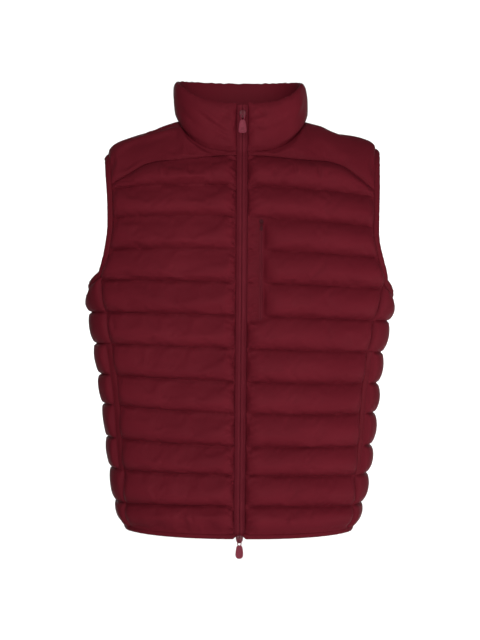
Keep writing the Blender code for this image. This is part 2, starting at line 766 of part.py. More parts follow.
# Sliders and their pull tabs, in their own frame: X across, Z up and -Y away from the cloth.
# The tab's top bar lies in the eye between the slider's plate and its bridge.
PLATE = (0.0048, 0.0042, 0.0068)  # half width, thickness, half height
BRIDGE_HALF_WIDTH = 0.0011
BRIDGE_BAR = 0.0014
EYE_DEPTH = 0.0024
EYE_HALF_HEIGHT = 0.0036
RING_BAR = 0.0014
RING_HOLE_HALF_WIDTH = 0.0017
NECK_LENGTH = 0.0095  # axis to the top of the moulded tab
TAB_SIZE = (0.0132, 0.0026, 0.0220)
TAB_ROUNDING = 0.0040
HINGE_DEPTH = PLATE[1] + EYE_DEPTH / 2


def box_shape(low, high):
    shape = bmesh.new()
    size = Vector(high) - Vector(low)
    matrix = Matrix.Translation((Vector(low) + Vector(high)) / 2) @ Matrix.Diagonal((*size, 1))
    bmesh.ops.create_cube(shape, size=1, matrix=matrix)
    return shape


def shape_object(name, shape, frame, scale, material, cutter=False):
    bmesh.ops.scale(shape, vec=(scale,) * 3, verts=shape.verts)
    mesh = bpy.data.meshes.new(name)
    shape.to_mesh(mesh)
    shape.free()
    mesh.materials.append(MATERIALS[material])
    made = bpy.data.objects.new(name, mesh)
    made.matrix_world = frame
    if cutter:
        made.hide_render = True
        made.display_type = "WIRE"
    bpy.context.scene.collection.objects.link(made)
    return made


def combine(target, other, operation):
    step = target.modifiers.new(f"{operation.lower()} {other.name}", "BOOLEAN")
    step.operation = operation
    step.object = other


def bevelled(shape, along, width, segments):
    """Rounds the edges of a box that run along one axis."""
    edges = [e for e in shape.edges if abs((e.verts[0].co - e.verts[1].co).normalized()[along]) > 0.9]
    bmesh.ops.bevel(shape, geom=edges, offset=width, segments=segments, affect="EDGES", profile=0.5)
    return shape


def make_slider(name, frame, scale, material):
    """A plate that rides on the zip, with a bridge whose eye holds the pull tab."""
    half_width, thick, half_height = PLATE
    plate = box_shape((-half_width, -thick, -half_height), (half_width, 0, half_height))
    body = shape_object(name, bevelled(plate, 1, 0.0018, 2), frame, scale, material)
    out = thick + EYE_DEPTH + BRIDGE_BAR
    half_bridge = EYE_HALF_HEIGHT + BRIDGE_BAR
    low, high = (-BRIDGE_HALF_WIDTH, -out, -half_bridge), (BRIDGE_HALF_WIDTH, -thick / 2, half_bridge)
    bridge = bevelled(box_shape(low, high), 0, 0.0008, 2)
    arch = shape_object(f"{name}_bridge", bridge, frame, scale, material, cutter=True)
    eye = box_shape(
        (-2 * BRIDGE_HALF_WIDTH, -thick - EYE_DEPTH, -EYE_HALF_HEIGHT),
        (2 * BRIDGE_HALF_WIDTH, -thick, EYE_HALF_HEIGHT),
    )
    hole = shape_object(f"{name}_eye", eye, frame, scale, material, cutter=True)
    combine(body, arch, "UNION")
    combine(body, hole, "DIFFERENCE")
    return body


def make_pull(name, frame, scale, tab_size, material):
    """A ring that hangs in the slider's eye, and a moulded tab below it. Its origin is on the hinge."""
    hinge = frame @ Matrix.Translation((0, -HINGE_DEPTH * scale, 0))
    outer = RING_HOLE_HALF_WIDTH + RING_BAR
    half = RING_BAR / 2
    ring = box_shape((-outer, -half, -NECK_LENGTH - 0.002), (outer, half, half))
    body = shape_object(name, bevelled(ring, 1, 0.0005, 1), hinge, scale, material)
    wide, thick, tall = (size / scale for size in tab_size)
    tab = box_shape((-wide / 2, -thick / 2, -NECK_LENGTH - tall), (wide / 2, thick / 2, -NECK_LENGTH))
    rounded = bevelled(tab, 1, min(TAB_ROUNDING, 0.42 * wide), 3)
    grip = shape_object(f"{name}_grip", rounded, hinge, scale, material, cutter=True)
    window = box_shape(
        (-RING_HOLE_HALF_WIDTH, -2 * half, -NECK_LENGTH + 0.0010), (RING_HOLE_HALF_WIDTH, 2 * half, -half)
    )
    hole = shape_object(f"{name}_window", window, hinge, scale, material, cutter=True)
    combine(body, grip, "UNION")
    combine(body, hole, "DIFFERENCE")
    return body


def seat_frame(point, normal):
    """A frame at a point of the cloth: -Y away from it along the normal, X level."""
    y = -Vector(normal).normalized()
    x = Vector((0, 0, 1)).cross(-y).normalized()
    if x.x < 0:
        x = -x
    z = x.cross(y)
    frame = Matrix((x, y, z)).transposed().to_4x4()
    frame.translation = Vector(point)
    return frame


TOP_SLIDER_HEIGHT = 0.0015  # level of the pull tab's hinge
BOTTOM_SLIDER_HEIGHT = -0.6930
POCKET_SLIDER_HEIGHT = -0.1765
POCKET_SLIDER_SCALE = 0.55
POCKET_TAB_SIZE = (0.0046, 0.0014, 0.0090)
POCKET_ZIP_SHARES = (0.45, 0.66, 0.87)
POCKET_ZIP_THICKNESS = 0.0014
WELT_THICKNESS = 0.0014


def make_zip_sliders():
    grid, normals = zip_grid([0.0])
    grid, normals = grid[:, 0], normals[:, 0]
    for name, height in (("top", TOP_SLIDER_HEIGHT), ("bottom", BOTTOM_SLIDER_HEIGHT)):
        y = np.interp(height, grid[:, 2], grid[:, 1]) - CHAIN_THICKNESS - SEAM_GAP
        lean = 0.0012 if name == "bottom" else 0.0
        frame = seat_frame((0.0, y - lean, height), (0.0, -1.0, 0.0))
        make_slider(f"{name}_slider", frame, 1.0, "metal")
        make_pull(f"{name}_pull_tab", frame, 1.0, TAB_SIZE, "pull")


def make_chest_pocket(front_left):
    rows, _, _, outside = front_left
    inside, normals = lie_on(
        outside,
        rows,
        (2, 3),
        POCKET_ZIP_SHARES,
        POCKET_ROWS,
        POCKET_ZIP_THICKNESS,
        "chest_pocket_zip",
        "tape",
    )
    centre = inside[:, 1] + normals[:, 1] * (POCKET_ZIP_THICKNESS + SEAM_GAP)
    point = [np.interp(POCKET_SLIDER_HEIGHT, centre[:, 2], centre[:, k]) for k in range(3)]
    normal = [np.interp(POCKET_SLIDER_HEIGHT, centre[:, 2], normals[:, 1, k]) for k in range(3)]
    seat = hang(np.array(point) + np.array(normal) * 0.0004)
    frame = seat_frame(seat, (0.0, normal[1], normal[2]))
    make_slider("chest_pocket_slider", frame, POCKET_SLIDER_SCALE, "metal")
    make_pull("chest_pocket_pull", frame, POCKET_SLIDER_SCALE, POCKET_TAB_SIZE, "pull")


def make_side_pockets(side_left, side_right):
    for name, panel in (("side_pocket_welt_left", side_left), ("side_pocket_welt_right", side_right)):
        lie_on(panel[3], panel[0], (0, 1), (0.08, 0.92), WELT_ROWS, WELT_THICKNESS, name, "binding")


# ---------------------------------------------------------------- the vest


def build():
    for old in list(bpy.data.objects):
        bpy.data.objects.remove(old)
    finish("shell", (0.085, 0.008, 0.014), 0.55)
    finish("yoke", (0.080, 0.008, 0.013), 0.55)
    finish("binding", (0.070, 0.007, 0.012), 0.60)
    finish("tape", (0.060, 0.006, 0.011), 0.70)
    finish("chain", (0.090, 0.010, 0.018), 0.45)
    finish("metal", (0.110, 0.020, 0.030), 0.40, 0.3)
    finish("pull", (0.200, 0.035, 0.055), 0.50)

    front_left = make_front("front_left", False, True)
    front_right = make_front("front_right", True, False)
    back = make_back()
    side_left = make_side_panel("side_panel_left", False)
    side_right = make_side_panel("side_panel_right", True)
    yoke_left = make_front_yoke("yoke_left", False)
    yoke_right = make_front_yoke("yoke_right", True)
    yoke_back = make_back_yoke(back[1])
    make_collar(yoke_left, yoke_right, yoke_back)
    make_armhole_binding("armhole_binding_left", front_left, side_left, back, yoke_left, yoke_back, -1)
    make_armhole_binding("armhole_binding_right", front_right, side_right, back, yoke_right, yoke_back, 0)
    make_hem(front_left, side_left, back, side_right, front_right)
    make_zip()
    make_zip_sliders()
    make_chest_pocket(front_left)
    make_side_pockets(side_left, side_right)


build()
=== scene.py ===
"""The puffer vest as it looks: padded cloth, bindings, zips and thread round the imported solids.

Metres, +Z up. The front faces -Y and the wearer's left is +X.
"""

import math

import bpy
import numpy as np
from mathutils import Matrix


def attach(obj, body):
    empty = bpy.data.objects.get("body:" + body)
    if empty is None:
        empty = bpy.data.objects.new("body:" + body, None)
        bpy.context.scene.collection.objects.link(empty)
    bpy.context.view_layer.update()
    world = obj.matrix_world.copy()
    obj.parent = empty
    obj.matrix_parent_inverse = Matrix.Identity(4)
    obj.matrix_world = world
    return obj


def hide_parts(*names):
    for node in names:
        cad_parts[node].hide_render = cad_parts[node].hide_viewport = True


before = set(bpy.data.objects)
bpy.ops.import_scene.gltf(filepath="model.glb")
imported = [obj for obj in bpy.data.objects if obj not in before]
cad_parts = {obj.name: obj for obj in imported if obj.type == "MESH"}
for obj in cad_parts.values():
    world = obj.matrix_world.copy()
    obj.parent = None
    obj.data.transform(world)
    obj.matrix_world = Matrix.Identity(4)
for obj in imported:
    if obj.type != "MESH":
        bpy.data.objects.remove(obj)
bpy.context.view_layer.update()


# ================================================================ quilted panels
# Two fronts, a back and two side panels of thin downproof nylon. Each is two layers with
# synthetic down between them, sewn through along level seams, so that it stands out in
# baffles between the seams and gathers a little along every line of sewing.

FRONT, BACK = -1, 1
SQUARENESS = 2.7  # of the body's level sections: 2 is an ellipse
ARCH_FOOT = {FRONT: -0.240, BACK: -0.200}  # level where the chest starts to lean in
ARCH_POWER = {FRONT: 2.0, BACK: 2.3}

SHELL_WALL = 0.0025  # both layers and pressed filling, at a seam
SEAM_GAP = 0.0003
BAFFLE_FILL = 0.0138  # how far a full baffle stands out past its seams
FULL_BAFFLE_HEIGHT = 0.045
BAFFLE_SAG, BAFFLE_FORM = 0.74, 1.00  # in front and behind the filling sinks to the lower seam
SIDE_SAG, SIDE_FORM, SIDE_SHARE = 1.05, 0.55, 0.62  # the side panels are held tighter
HEM_SAG, HEM_SHARE = 1.15, 0.30  # the lowest baffle narrows towards the hem
END_ROUNDING = 0.013
ZIP_ROUNDING, SEAM_ROUNDING = 0.022, 0.018
ZIP_STEEPNESS, SEAM_STEEPNESS = 1.4, 1.2  # powers of the roundings beside the zip and the seam
LINING_FILL = 0.0022
PANEL_FILLING = 0.45  # share of the cloth's volume that is filling
ZIP_HALF_WIDTH = 0.0095
YOKE_SEAM_END = -0.118
TOP_SEAM, YOKE_LINE = 11, 12
SIDE_TOP_ROW = 8.16
ARMPIT = -0.297
POCKET_ROWS, POCKET_FLAT = (6.84, 10.0), 0.0265
WELT_ROWS, WELT_FLAT = (2.0, 6.0), 0.0095
ROW_SLOPE = 0.1  # of a row, at each end of a pocket
BAFFLE_ROWS, ROW_CROWDING = 10, 0.5
FRONT_COLUMNS, BACK_COLUMNS, SIDE_COLUMNS = 28, 63, 20


def eased(t):
    """From 0 to 1 with level ends: 3 t^2 - 2 t^3."""
    return t * t * (3 - 2 * t)


class Table:
    """Rows of measurements with named columns, read along a smooth curve through the rows."""

    def __init__(self, columns, *rows):
        self.columns = columns.split()
        self.rows = np.array(sorted(rows))

    def read(self, column, at):
        """A column's values at each place."""
        places = self.rows[:, 0]
        values = self.rows[:, self.columns.index(column)]
        slopes = np.gradient(values, places)
        at = np.clip(at, places[0], places[-1])
        i = np.clip(np.searchsorted(places, at) - 1, 0, len(places) - 2)
        span = places[i + 1] - places[i]
        t = (at - places[i]) / span
        rise = eased(t)
        bend = span * t * (1 - t) * ((1 - t) * slopes[i] - t * slopes[i + 1])
        return values[i] * (1 - rise) + values[i + 1] * rise + bend


SECTIONS = Table(
    "height half_width front_depth back_depth",
    (-0.700, 0.181, 0.101, 0.102),
    (-0.679, 0.1905, 0.104, 0.105),
    (-0.650, 0.200, 0.105, 0.106),
    (-0.563, 0.215, 0.107, 0.105),
    (-0.460, 0.227, 0.109, 0.105),
    (-0.406, 0.234, 0.111, 0.106),
    (-0.360, 0.242, 0.113, 0.109),
    (-0.300, 0.252, 0.115, 0.113),
    (-0.240, 0.260, 0.115, 0.116),
    (-0.100, 0.264, 0.115, 0.116),
    (0.100, 0.264, 0.115, 0.116),
)

RIDGE = Table(  # the shoulders' top line
    "across front back",
    (0.000, 0.008, 0.042),
    (0.055, 0.003, 0.022),
    (0.102, -0.006, -0.006),
    (0.122, -0.0125, -0.0125),
    (0.143, -0.0205, -0.0205),
    (0.163, -0.0260, -0.0260),
    (0.184, -0.0312, -0.0312),
    (0.204, -0.0378, -0.0378),
    (0.215, -0.0432, -0.0432),
    (0.240, -0.0720, -0.0720),
)

PANEL_EDGE = Table(  # the side seam, and above the armpit the armhole
    "height across",
    (-0.690, 0.174),
    (-0.655, 0.184),
    (-0.600, 0.1875),
    (-0.520, 0.1940),
    (-0.461, 0.1970),
    (-0.420, 0.2025),
    (-0.370, 0.2105),
    (-0.315, 0.2215),
    (-0.270, 0.2300),
    (-0.236, 0.2212),
    (-0.200, 0.2136),
    (-0.165, 0.2132),
    (-0.114, 0.2163),
    (-0.045, 0.2245),
)

QUILT_SEAMS = Table(  # height beside the zip, and how much higher at the side seam
    "number height rise",
    (0, -0.6845, 0.0050),
    (1, -0.6399, -0.0010),
    (2, -0.5896, 0.0015),
    (3, -0.5426, 0.0040),
    (4, -0.4891, 0.0050),
    (5, -0.4372, 0.0030),
    (6, -0.3836, 0.0010),
    (7, -0.3301, 0.0000),
    (8, -0.2766, -0.0015),
    (9, -0.2231, -0.0050),
    (10, -0.1695, -0.0080),
    (11, -0.1176, -0.0095),
)

YOKE_SEAM = Table(
    "across front back",
    (0.000, -0.0670, -0.070),
    (0.030, -0.0680, -0.070),
    (0.070, -0.0715, -0.071),
    (0.110, -0.0750, -0.073),
    (0.145, -0.0775, -0.077),
    (0.165, -0.0838, -0.083),
    (0.185, -0.0965, -0.094),
    (0.205, -0.1105, -0.109),
    (0.220, -0.1210, -0.122),
)


def half_widths(z):
    """Half width of the body's level section at z."""
    return SECTIONS.read("half_width", z)


def depths(z, side):
    """Depth of the level section at z, in front or behind."""
    return SECTIONS.read("front_depth" if side == FRONT else "back_depth", z)


def ridge(x, side):
    """Height of the shoulders' top line at x."""
    return RIDGE.read("front" if side == FRONT else "back", np.abs(x))


def breadth(x, z, side):
    """Depth of the level section at x: depth * (1 - |x / half width|^n)^(1/n)."""
    inside = np.clip(1 - np.abs(x / half_widths(z)) ** SQUARENESS, 0, None)
    return depths(z, side) * inside ** (1 / SQUARENESS)


def climb(x, z, side):
    """How far z is up the arch at x: 0 at its foot and 1 on the shoulder."""
    foot = ARCH_FOOT[side]
    return np.clip((z - foot) / (ridge(x, side) - foot), 0, None)


def on_body(x, z, side):
    """Inside of the front or back: breadth * (1 - climb^p)^(1/p) deep at x and z."""
    x, z = np.broadcast_arrays(x, z)
    power = ARCH_POWER[side]
    arch = np.clip(1 - climb(x, z, side) ** power, 0, None) ** (1 / power)
    return np.stack([x, side * breadth(x, z, side) * arch, z], axis=-1)


def body_level(points, side):
    """Zero on the front's or back's inside, and positive outside it."""
    x, y, z = np.moveaxis(points, -1, 0)
    power = ARCH_POWER[side]
    deep = np.abs(y / depths(z, side)) ** power
    flat = (breadth(x, z, side) / depths(z, side)) ** power
    return deep - flat * (1 - climb(x, z, side) ** power)


def flank_level(points, side):
    """One on the level sections, and more outside them."""
    x, y, z = np.moveaxis(points, -1, 0)
    depth = np.where(y < 0, depths(z, FRONT), depths(z, BACK))
    return np.abs(x / half_widths(z)) ** SQUARENESS + np.abs(y / depth) ** SQUARENESS


def unit(vectors):
    """Vectors divided by their lengths."""
    return vectors / np.linalg.norm(vectors, axis=-1, keepdims=True)


def outward(points, level, side):
    """Unit normals, from the slope of a level function."""
    step = 2e-5
    slopes = [level(points + e, side) - level(points - e, side) for e in np.eye(3) * step]
    return unit(np.stack(slopes, axis=-1))


HANG_REACH = 0.22  # half width at which the values of HANG hold
HANG = Table(  # how much higher the wearer's right is, the shoulder's end too, and how far over
    "level hitch tip sway",
    (-0.700, 0.0000, 0.0000, 0.0000),
    (-0.660, 0.0000, 0.0000, 0.0000),
    (-0.560, 0.0045, 0.0000, 0.0000),
    (-0.300, 0.0045, 0.0000, 0.0000),
    (-0.280, 0.0045, 0.0000, 0.0010),
    (-0.262, 0.0045, 0.0000, 0.0034),
    (-0.200, 0.0045, 0.0000, 0.0030),
    (-0.125, 0.0045, 0.0000, 0.0024),
    (-0.095, -0.0007, -0.0003, 0.0016),
    (-0.060, -0.0015, -0.0038, 0.0010),
    (-0.030, -0.0015, -0.0045, 0.0000),
    (0.020, 0.0000, -0.0045, 0.0000),
    (0.080, 0.0000, -0.0045, 0.0000),
)


def hang(points):
    """Sets the vest a little askew, as it hangs: z - hitch s - tip s^7 and x + sway s^2."""
    level, share = points[..., 2], points[..., 0] / HANG_REACH
    moved = points.copy()
    moved[..., 2] -= HANG.read("hitch", level) * share + HANG.read("tip", level) * share**7
    moved[..., 0] += HANG.read("sway", level) * share**2
    return moved


def spread(start, end, near, count, far):
    """Columns at fixed distances from two edges, with `count` evenly spaced ones between."""
    start, end = (np.asarray(edge, float)[..., None] for edge in np.broadcast_arrays(start, end))
    first, last = start + np.array(near), end - np.array(far)
    share = np.arange(1, count + 1) / (count + 1)
    middle = first[..., -1:] + (last[..., :1] - first[..., -1:]) * share
    return np.concatenate([first, middle, last], axis=-1)


def crowded(even, share):
    """Even steps from 0 to 1, drawn together towards both ends by a share of a cosine's."""
    return (1 - share) * even + share / 2 * (1 - np.cos(np.pi * even))


def edge_distances(points):
    """Distance of each grid point from its row's first and last point, along the row."""
    steps = np.linalg.norm(np.diff(points, axis=1), axis=-1)
    from_first = np.concatenate([np.zeros((len(points), 1)), np.cumsum(steps, axis=1)], axis=1)
    return from_first, from_first[:, -1:] - from_first


def rounding(distance, reach):
    """A quarter round: 0 at an edge, and 1 from `reach` on."""
    return np.sqrt(1 - (1 - np.clip(distance / reach, 0, 1)) ** 2)


def within_rows(rows, span):
    """1 between two row numbers and 0 outside them, with a short slope at each end."""
    low, high = (rows - span[0]) / ROW_SLOPE + 0.5, (span[1] - rows) / ROW_SLOPE + 0.5
    return np.clip(np.minimum(low, high), 0, 1)[:, None]


def panel_rows(last):
    """Row numbers from the hem seam up, closer together beside the seams than between them."""
    steps = crowded(np.arange(BAFFLE_ROWS) / BAFFLE_ROWS, ROW_CROWDING)
    rows = (np.arange(YOKE_LINE)[:, None] + steps).ravel()
    return np.append(np.union1d(rows[rows < last - 0.02], [SIDE_TOP_ROW][: last > 9]), last)


def row_heights(rows, across, yoke_seam):
    """Heights of the rows: each lies its share of the way from the seam below to the next."""
    below = np.floor(rows).astype(int)
    part = (rows - below)[:, None]

    def seams(number):
        number = np.minimum(number, TOP_SEAM)[:, None]
        return QUILT_SEAMS.read("height", number) + QUILT_SEAMS.read("rise", number) * across**2

    high = np.where((below >= TOP_SEAM)[:, None], yoke_seam, seams(below + 1))
    low = np.where((below >= YOKE_LINE)[:, None], yoke_seam, seams(below))
    return low + (high - low) * part, high - low


def baffle_round(part, lowest, sag=BAFFLE_SAG, form=BAFFLE_FORM):
    """Cross-section of a baffle: (1 - (2 s - 1)^2)^form, with s = part^sag from seam to seam."""
    share = np.clip(part, 0, 1)
    arc = np.clip(1 - (2 * share ** np.where(lowest, HEM_SAG, sag) - 1) ** 2, 0, 1) ** form
    return np.where(lowest, np.maximum(arc, HEM_SHARE * (1 - share) ** 2), arc)


def baffle_fill(rows, heights):
    """How far the filling stands out: a baffle's cross-section, less where the baffle is low."""
    part = (rows - np.floor(rows))[:, None]
    full = np.clip(np.abs(heights) / FULL_BAFFLE_HEIGHT, 0, 1)
    return BAFFLE_FILL * baffle_round(part, rows[:, None] < 1) * full


def ripple(seed, places, waves):
    """A smooth uneven wave: a sum of sines of nearby wavelengths, with seeded phases, near +-1."""
    random = np.random.default_rng(seed)
    total = np.zeros(np.broadcast(*places).shape)
    for length in waves:
        turn = random.uniform(0, 2 * np.pi)
        lean = random.uniform(-0.5, 0.5)
        swell = 1 + 0.5 * np.sin(2 * np.pi * places[1] / (5.3 * length) + random.uniform(0, 6))
        total = total + swell * np.sin(2 * np.pi * (places[0] + lean * places[1]) / length + turn)
    return total / len(waves) ** 0.5


# ---- the cloth and its finish


class Socket:
    """A shader socket that takes part in Python sums. Numbers and sockets mix freely."""

    def __init__(self, tree, socket):
        self.tree, self.socket = tree, socket

    def node(self, kind, settings=(), output=0, **inputs):
        """Any node: its settings, then the value or link of each socket, by name or as i<number>."""
        made = self.tree.nodes.new(kind)
        for name, value in dict(settings).items():
            setattr(made, name, value)
        for name, value in inputs.items():
            numbered = name[0] == "i" and name[1:].isdigit()
            socket = made.inputs[int(name[1:]) if numbered else name]
            if isinstance(value, Socket):
                self.tree.links.new(value.socket, socket)
            else:
                socket.default_value = value
        return Socket(self.tree, made.outputs[output])

    def maths(self, operation, a, b):
        return self.node("ShaderNodeMath", {"operation": operation}, i0=a, i1=b)

    def __add__(self, other):
        return self.maths("ADD", self, other)

    def __sub__(self, other):
        return self.maths("SUBTRACT", self, other)

    def __rsub__(self, other):
        return self.maths("SUBTRACT", other, self)

    def __mul__(self, other):
        return self.maths("MULTIPLY", self, other)

    __radd__, __rmul__ = __add__, __mul__

    def blend(self, low, high):
        """The colour `low` where this is 0 and `high` where it is 1."""
        settings = {"data_type": "RGBA"}
        return self.node("ShaderNodeMix", settings, 2, i0=self, i6=(*low, 1), i7=(*high, 1))

    def clamped(self, low, high):
        """0 at `low`, 1 at `high`, in a straight line between."""
        return self.node("ShaderNodeMapRange", {"clamp": True}, i0=self, i1=low, i2=high)


def finish(name, **constants):
    """A new material: its Principled shader, and a first socket to build on."""
    material = bpy.data.materials.new(name)
    material.use_nodes = True
    shader = material.node_tree.nodes["Principled BSDF"]
    for key, value in constants.items():
        shader.inputs[key.replace("_", " ")].default_value = value
    place = material.node_tree.nodes.new("ShaderNodeTexCoord").outputs["Object"]
    return material, shader, Socket(material.node_tree, place)


def feed(shader, name, value):
    """Links a socket to one of the shader's."""
    value.tree.links.new(value.socket, shader.inputs[name])


def bump(shader, height, strength, distance):
    """Bumps the shader's surface by a height from 0 to 1, times a distance in metres."""
    bumped = height.node("ShaderNodeBump", Strength=strength, Distance=distance, Height=height)
    feed(shader, "Normal", bumped)


def noise(place, scale, detail=2.0, squash=(1, 1, 1)):
    """Noise of `scale` bumps in a metre, squashed along each axis."""
    mapped = place.node("ShaderNodeMapping", i0=place, i3=squash)
    return mapped.node("ShaderNodeTexNoise", i0=mapped, Scale=scale, Detail=detail)


PAINTED_SEAM_SHADE = 0.60  # painted shade: the cloth's colour is darkened beside its sewing, where the seam valleys lie in shade
GATHER_SCALE, CRUMPLE_SCALE, THREAD_SCALE = 150.0, 42.0, 1500.0
GATHER_BUMP, CRUMPLE_BUMP, THREAD_BUMP = 0.55, 0.55, 0.012  # shares of CLOTH_BUMP
CLOTH_BUMP, TAPE_BUMP = 0.0012, 0.0003


def nylon(name, low, high, rough):
    """Thin calendered nylon: a soft low sheen, a faint grain, small crumples at the sewing, and
    painted shade that darkens its colour beside the sewing.
    """
    material, shader, place = finish(name, Specular_IOR_Level=0.03)
    sewn = place.node("ShaderNodeAttribute", {"attribute_name": "sewn"}, output=2)
    # painted shade: random tone patches, less a darkening towards `low` beside the sewing that stands
    # in for the shade in the seam valleys
    patches_and_seam_shade = noise(place, 9.0, 3.0).clamped(0.3, 0.7) - sewn * PAINTED_SEAM_SHADE
    feed(shader, "Base Color", patches_and_seam_shade.blend(low, high))
    feed(shader, "Roughness", noise(place, 60.0) * 0.10 + (rough - 0.05))
    cloth = place.node("ShaderNodeUVMap", {"uv_map": "cloth"})
    gathers = noise(cloth, GATHER_SCALE, 1.0, (1.0, 0.14, 1.0))
    crumple = noise(cloth, CRUMPLE_SCALE, 3.0, (1.0, 0.7, 1.0))
    warp, weft = (noise(cloth, THREAD_SCALE, 1.0, way) for way in ((1, 0.3, 1), (0.3, 1, 1)))
    height = gathers * sewn * GATHER_BUMP + crumple * CRUMPLE_BUMP + (warp + weft) * THREAD_BUMP
    bump(shader, height, 0.6, CLOTH_BUMP)
    return material


SHELL = nylon("burgundy_nylon", (0.111, 0.0087, 0.0156), (0.130, 0.0109, 0.0188), 0.62)


# ---- meshes


def quads(numbers):
    """Four-sided faces between neighbours of a grid of vertex numbers."""
    corners = numbers[:-1, :-1], numbers[:-1, 1:], numbers[1:, 1:], numbers[1:, :-1]
    return np.stack(corners, axis=-1).reshape(-1, 4)


def rim(numbers):
    """The border of a grid of vertex numbers, in order."""
    sides = numbers[0, :-1], numbers[:-1, -1], numbers[-1, :0:-1], numbers[:0:-1, 0]
    return np.concatenate(sides)


def add_piece(name, points, faces, material, uv=None, sewn=None, sharp=60):
    """A mesh object from an array of points and a list of face arrays."""
    mesh = bpy.data.meshes.new(name)
    corners = np.concatenate([part.ravel() for part in faces]).astype(np.int32)
    sizes = np.concatenate([np.full(len(part), part.shape[1]) for part in faces]).astype(np.int32)
    mesh.vertices.add(len(points))
    mesh.vertices.foreach_set("co", np.asarray(points, np.float32).ravel())
    mesh.loops.add(len(corners))
    mesh.loops.foreach_set("vertex_index", corners)
    mesh.polygons.add(len(sizes))
    starts = np.concatenate([[0], np.cumsum(sizes)[:-1]]).astype(np.int32)
    mesh.polygons.foreach_set("loop_start", starts)
    mesh.update(calc_edges=True)
    if uv is not None:
        layer = mesh.uv_layers.new(name="cloth")
        layer.data.foreach_set("uv", np.asarray(uv, np.float32)[corners].ravel())
    if sewn is not None:
        layer = mesh.attributes.new("sewn", "FLOAT", "POINT")
        layer.data.foreach_set("value", np.asarray(sewn, np.float32).ravel())
    mesh.validate()
    mesh.materials.append(material)
    mesh.shade_smooth()
    mesh.set_sharp_from_angle(angle=math.radians(sharp))
    made = bpy.data.objects.new(name, mesh)
    bpy.context.scene.collection.objects.link(made)
    return made


def fit(made, node, body="root"):
    """Puts a piece in its solid's stead, and on its body."""
    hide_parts(node)
    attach(made, body)


def between(grid, axis):
    """Twice the points along one axis. A new one is (9 (b + c) - (a + d)) / 16 of its four."""
    g = np.moveaxis(grid, axis, 0)
    ends = np.concatenate([2 * g[:1] - g[1:2], g, 2 * g[-1:] - g[-2:-1]])
    new = (9 * (g[:-1] + g[1:]) - (ends[:-3] + ends[3:])) / 16
    out = np.empty((2 * len(g) - 1, *g.shape[1:]))
    out[::2], out[1::2] = g, new
    return np.moveaxis(out, 0, axis)


def finer(grid):
    """Twice the rows and columns of a grid, less one."""
    return between(between(grid, 0), 1)


def cloth_uv(grid):
    """A flat pattern of a grid: its columns' and rows' mean distances, in metres."""
    across = np.linalg.norm(np.diff(grid, axis=1), axis=-1).mean(axis=0)
    along = np.linalg.norm(np.diff(grid, axis=0), axis=-1).mean(axis=1)
    u, v = (np.concatenate([[0], np.cumsum(steps)]) for steps in (across, along))
    return np.stack(np.meshgrid(u, v), axis=-1)


def add_wall(name, outside, inside, sewn, material):
    """A closed wall, hung with the rest. The outside is as fine again as the inside."""
    outside, inside = hang(outside), hang(inside)
    fine = np.arange(outside.shape[0] * outside.shape[1]).reshape(outside.shape[:2])
    coarse = np.arange(inside.shape[0] * inside.shape[1]).reshape(inside.shape[:2]) + fine.size
    f, c = rim(fine), rim(coarse)
    even, odd, after, near = f[::2], f[1::2], np.roll(f, -2)[::2], np.roll(c, -1)
    edge = [(odd, even, c), (odd, c, near), (after, odd, near)]
    faces = [quads(fine), quads(coarse)[:, ::-1], *(np.stack(t, axis=-1) for t in edge)]
    middle = outside.shape[0] // 2 // 2 * 2, outside.shape[1] // 2 // 2 * 2
    a = outside[middle]
    cross = np.cross(outside[middle[0], middle[1] + 1] - a, outside[middle[0] + 1, middle[1]] - a)
    if cross @ (a - inside[middle[0] // 2, middle[1] // 2]) < 0:
        faces = [part[:, ::-1] for part in faces]
    points = np.concatenate([outside.reshape(-1, 3), inside.reshape(-1, 3)])
    uv = np.concatenate([cloth_uv(outside).reshape(-1, 2), cloth_uv(inside).reshape(-1, 2)])
    marks = np.concatenate([sewn.ravel(), sewn[::2, ::2].ravel()])
    return add_piece(name, points, faces, material, uv, marks)


# ---- the filling


PRESSURE = 4.0
GATHER = 0.007  # how much longer the cloth is than the seams that hold it
UNEVEN_FILL = 0.0005
PUCKER = 0.0003  # height of the small gathers beside a seam
SEWN_REACH, SEWN_EDGE = 0.5, 0.03  # shares of the full filling between which cloth gathers
GATHER_REACH, GATHER_START = 0.016, 0.004  # of the gathers beside the first column
SLACK_WAVES = (0.047, 0.061, 0.083)
PUCKER_WAVES = (0.0083, 0.0104, 0.0131, 0.0172)
GATHER_WAVES = (0.0091, 0.0127, 0.0175)
SETTLE_FRAMES = 16
MOST_MOVE = 0.0035


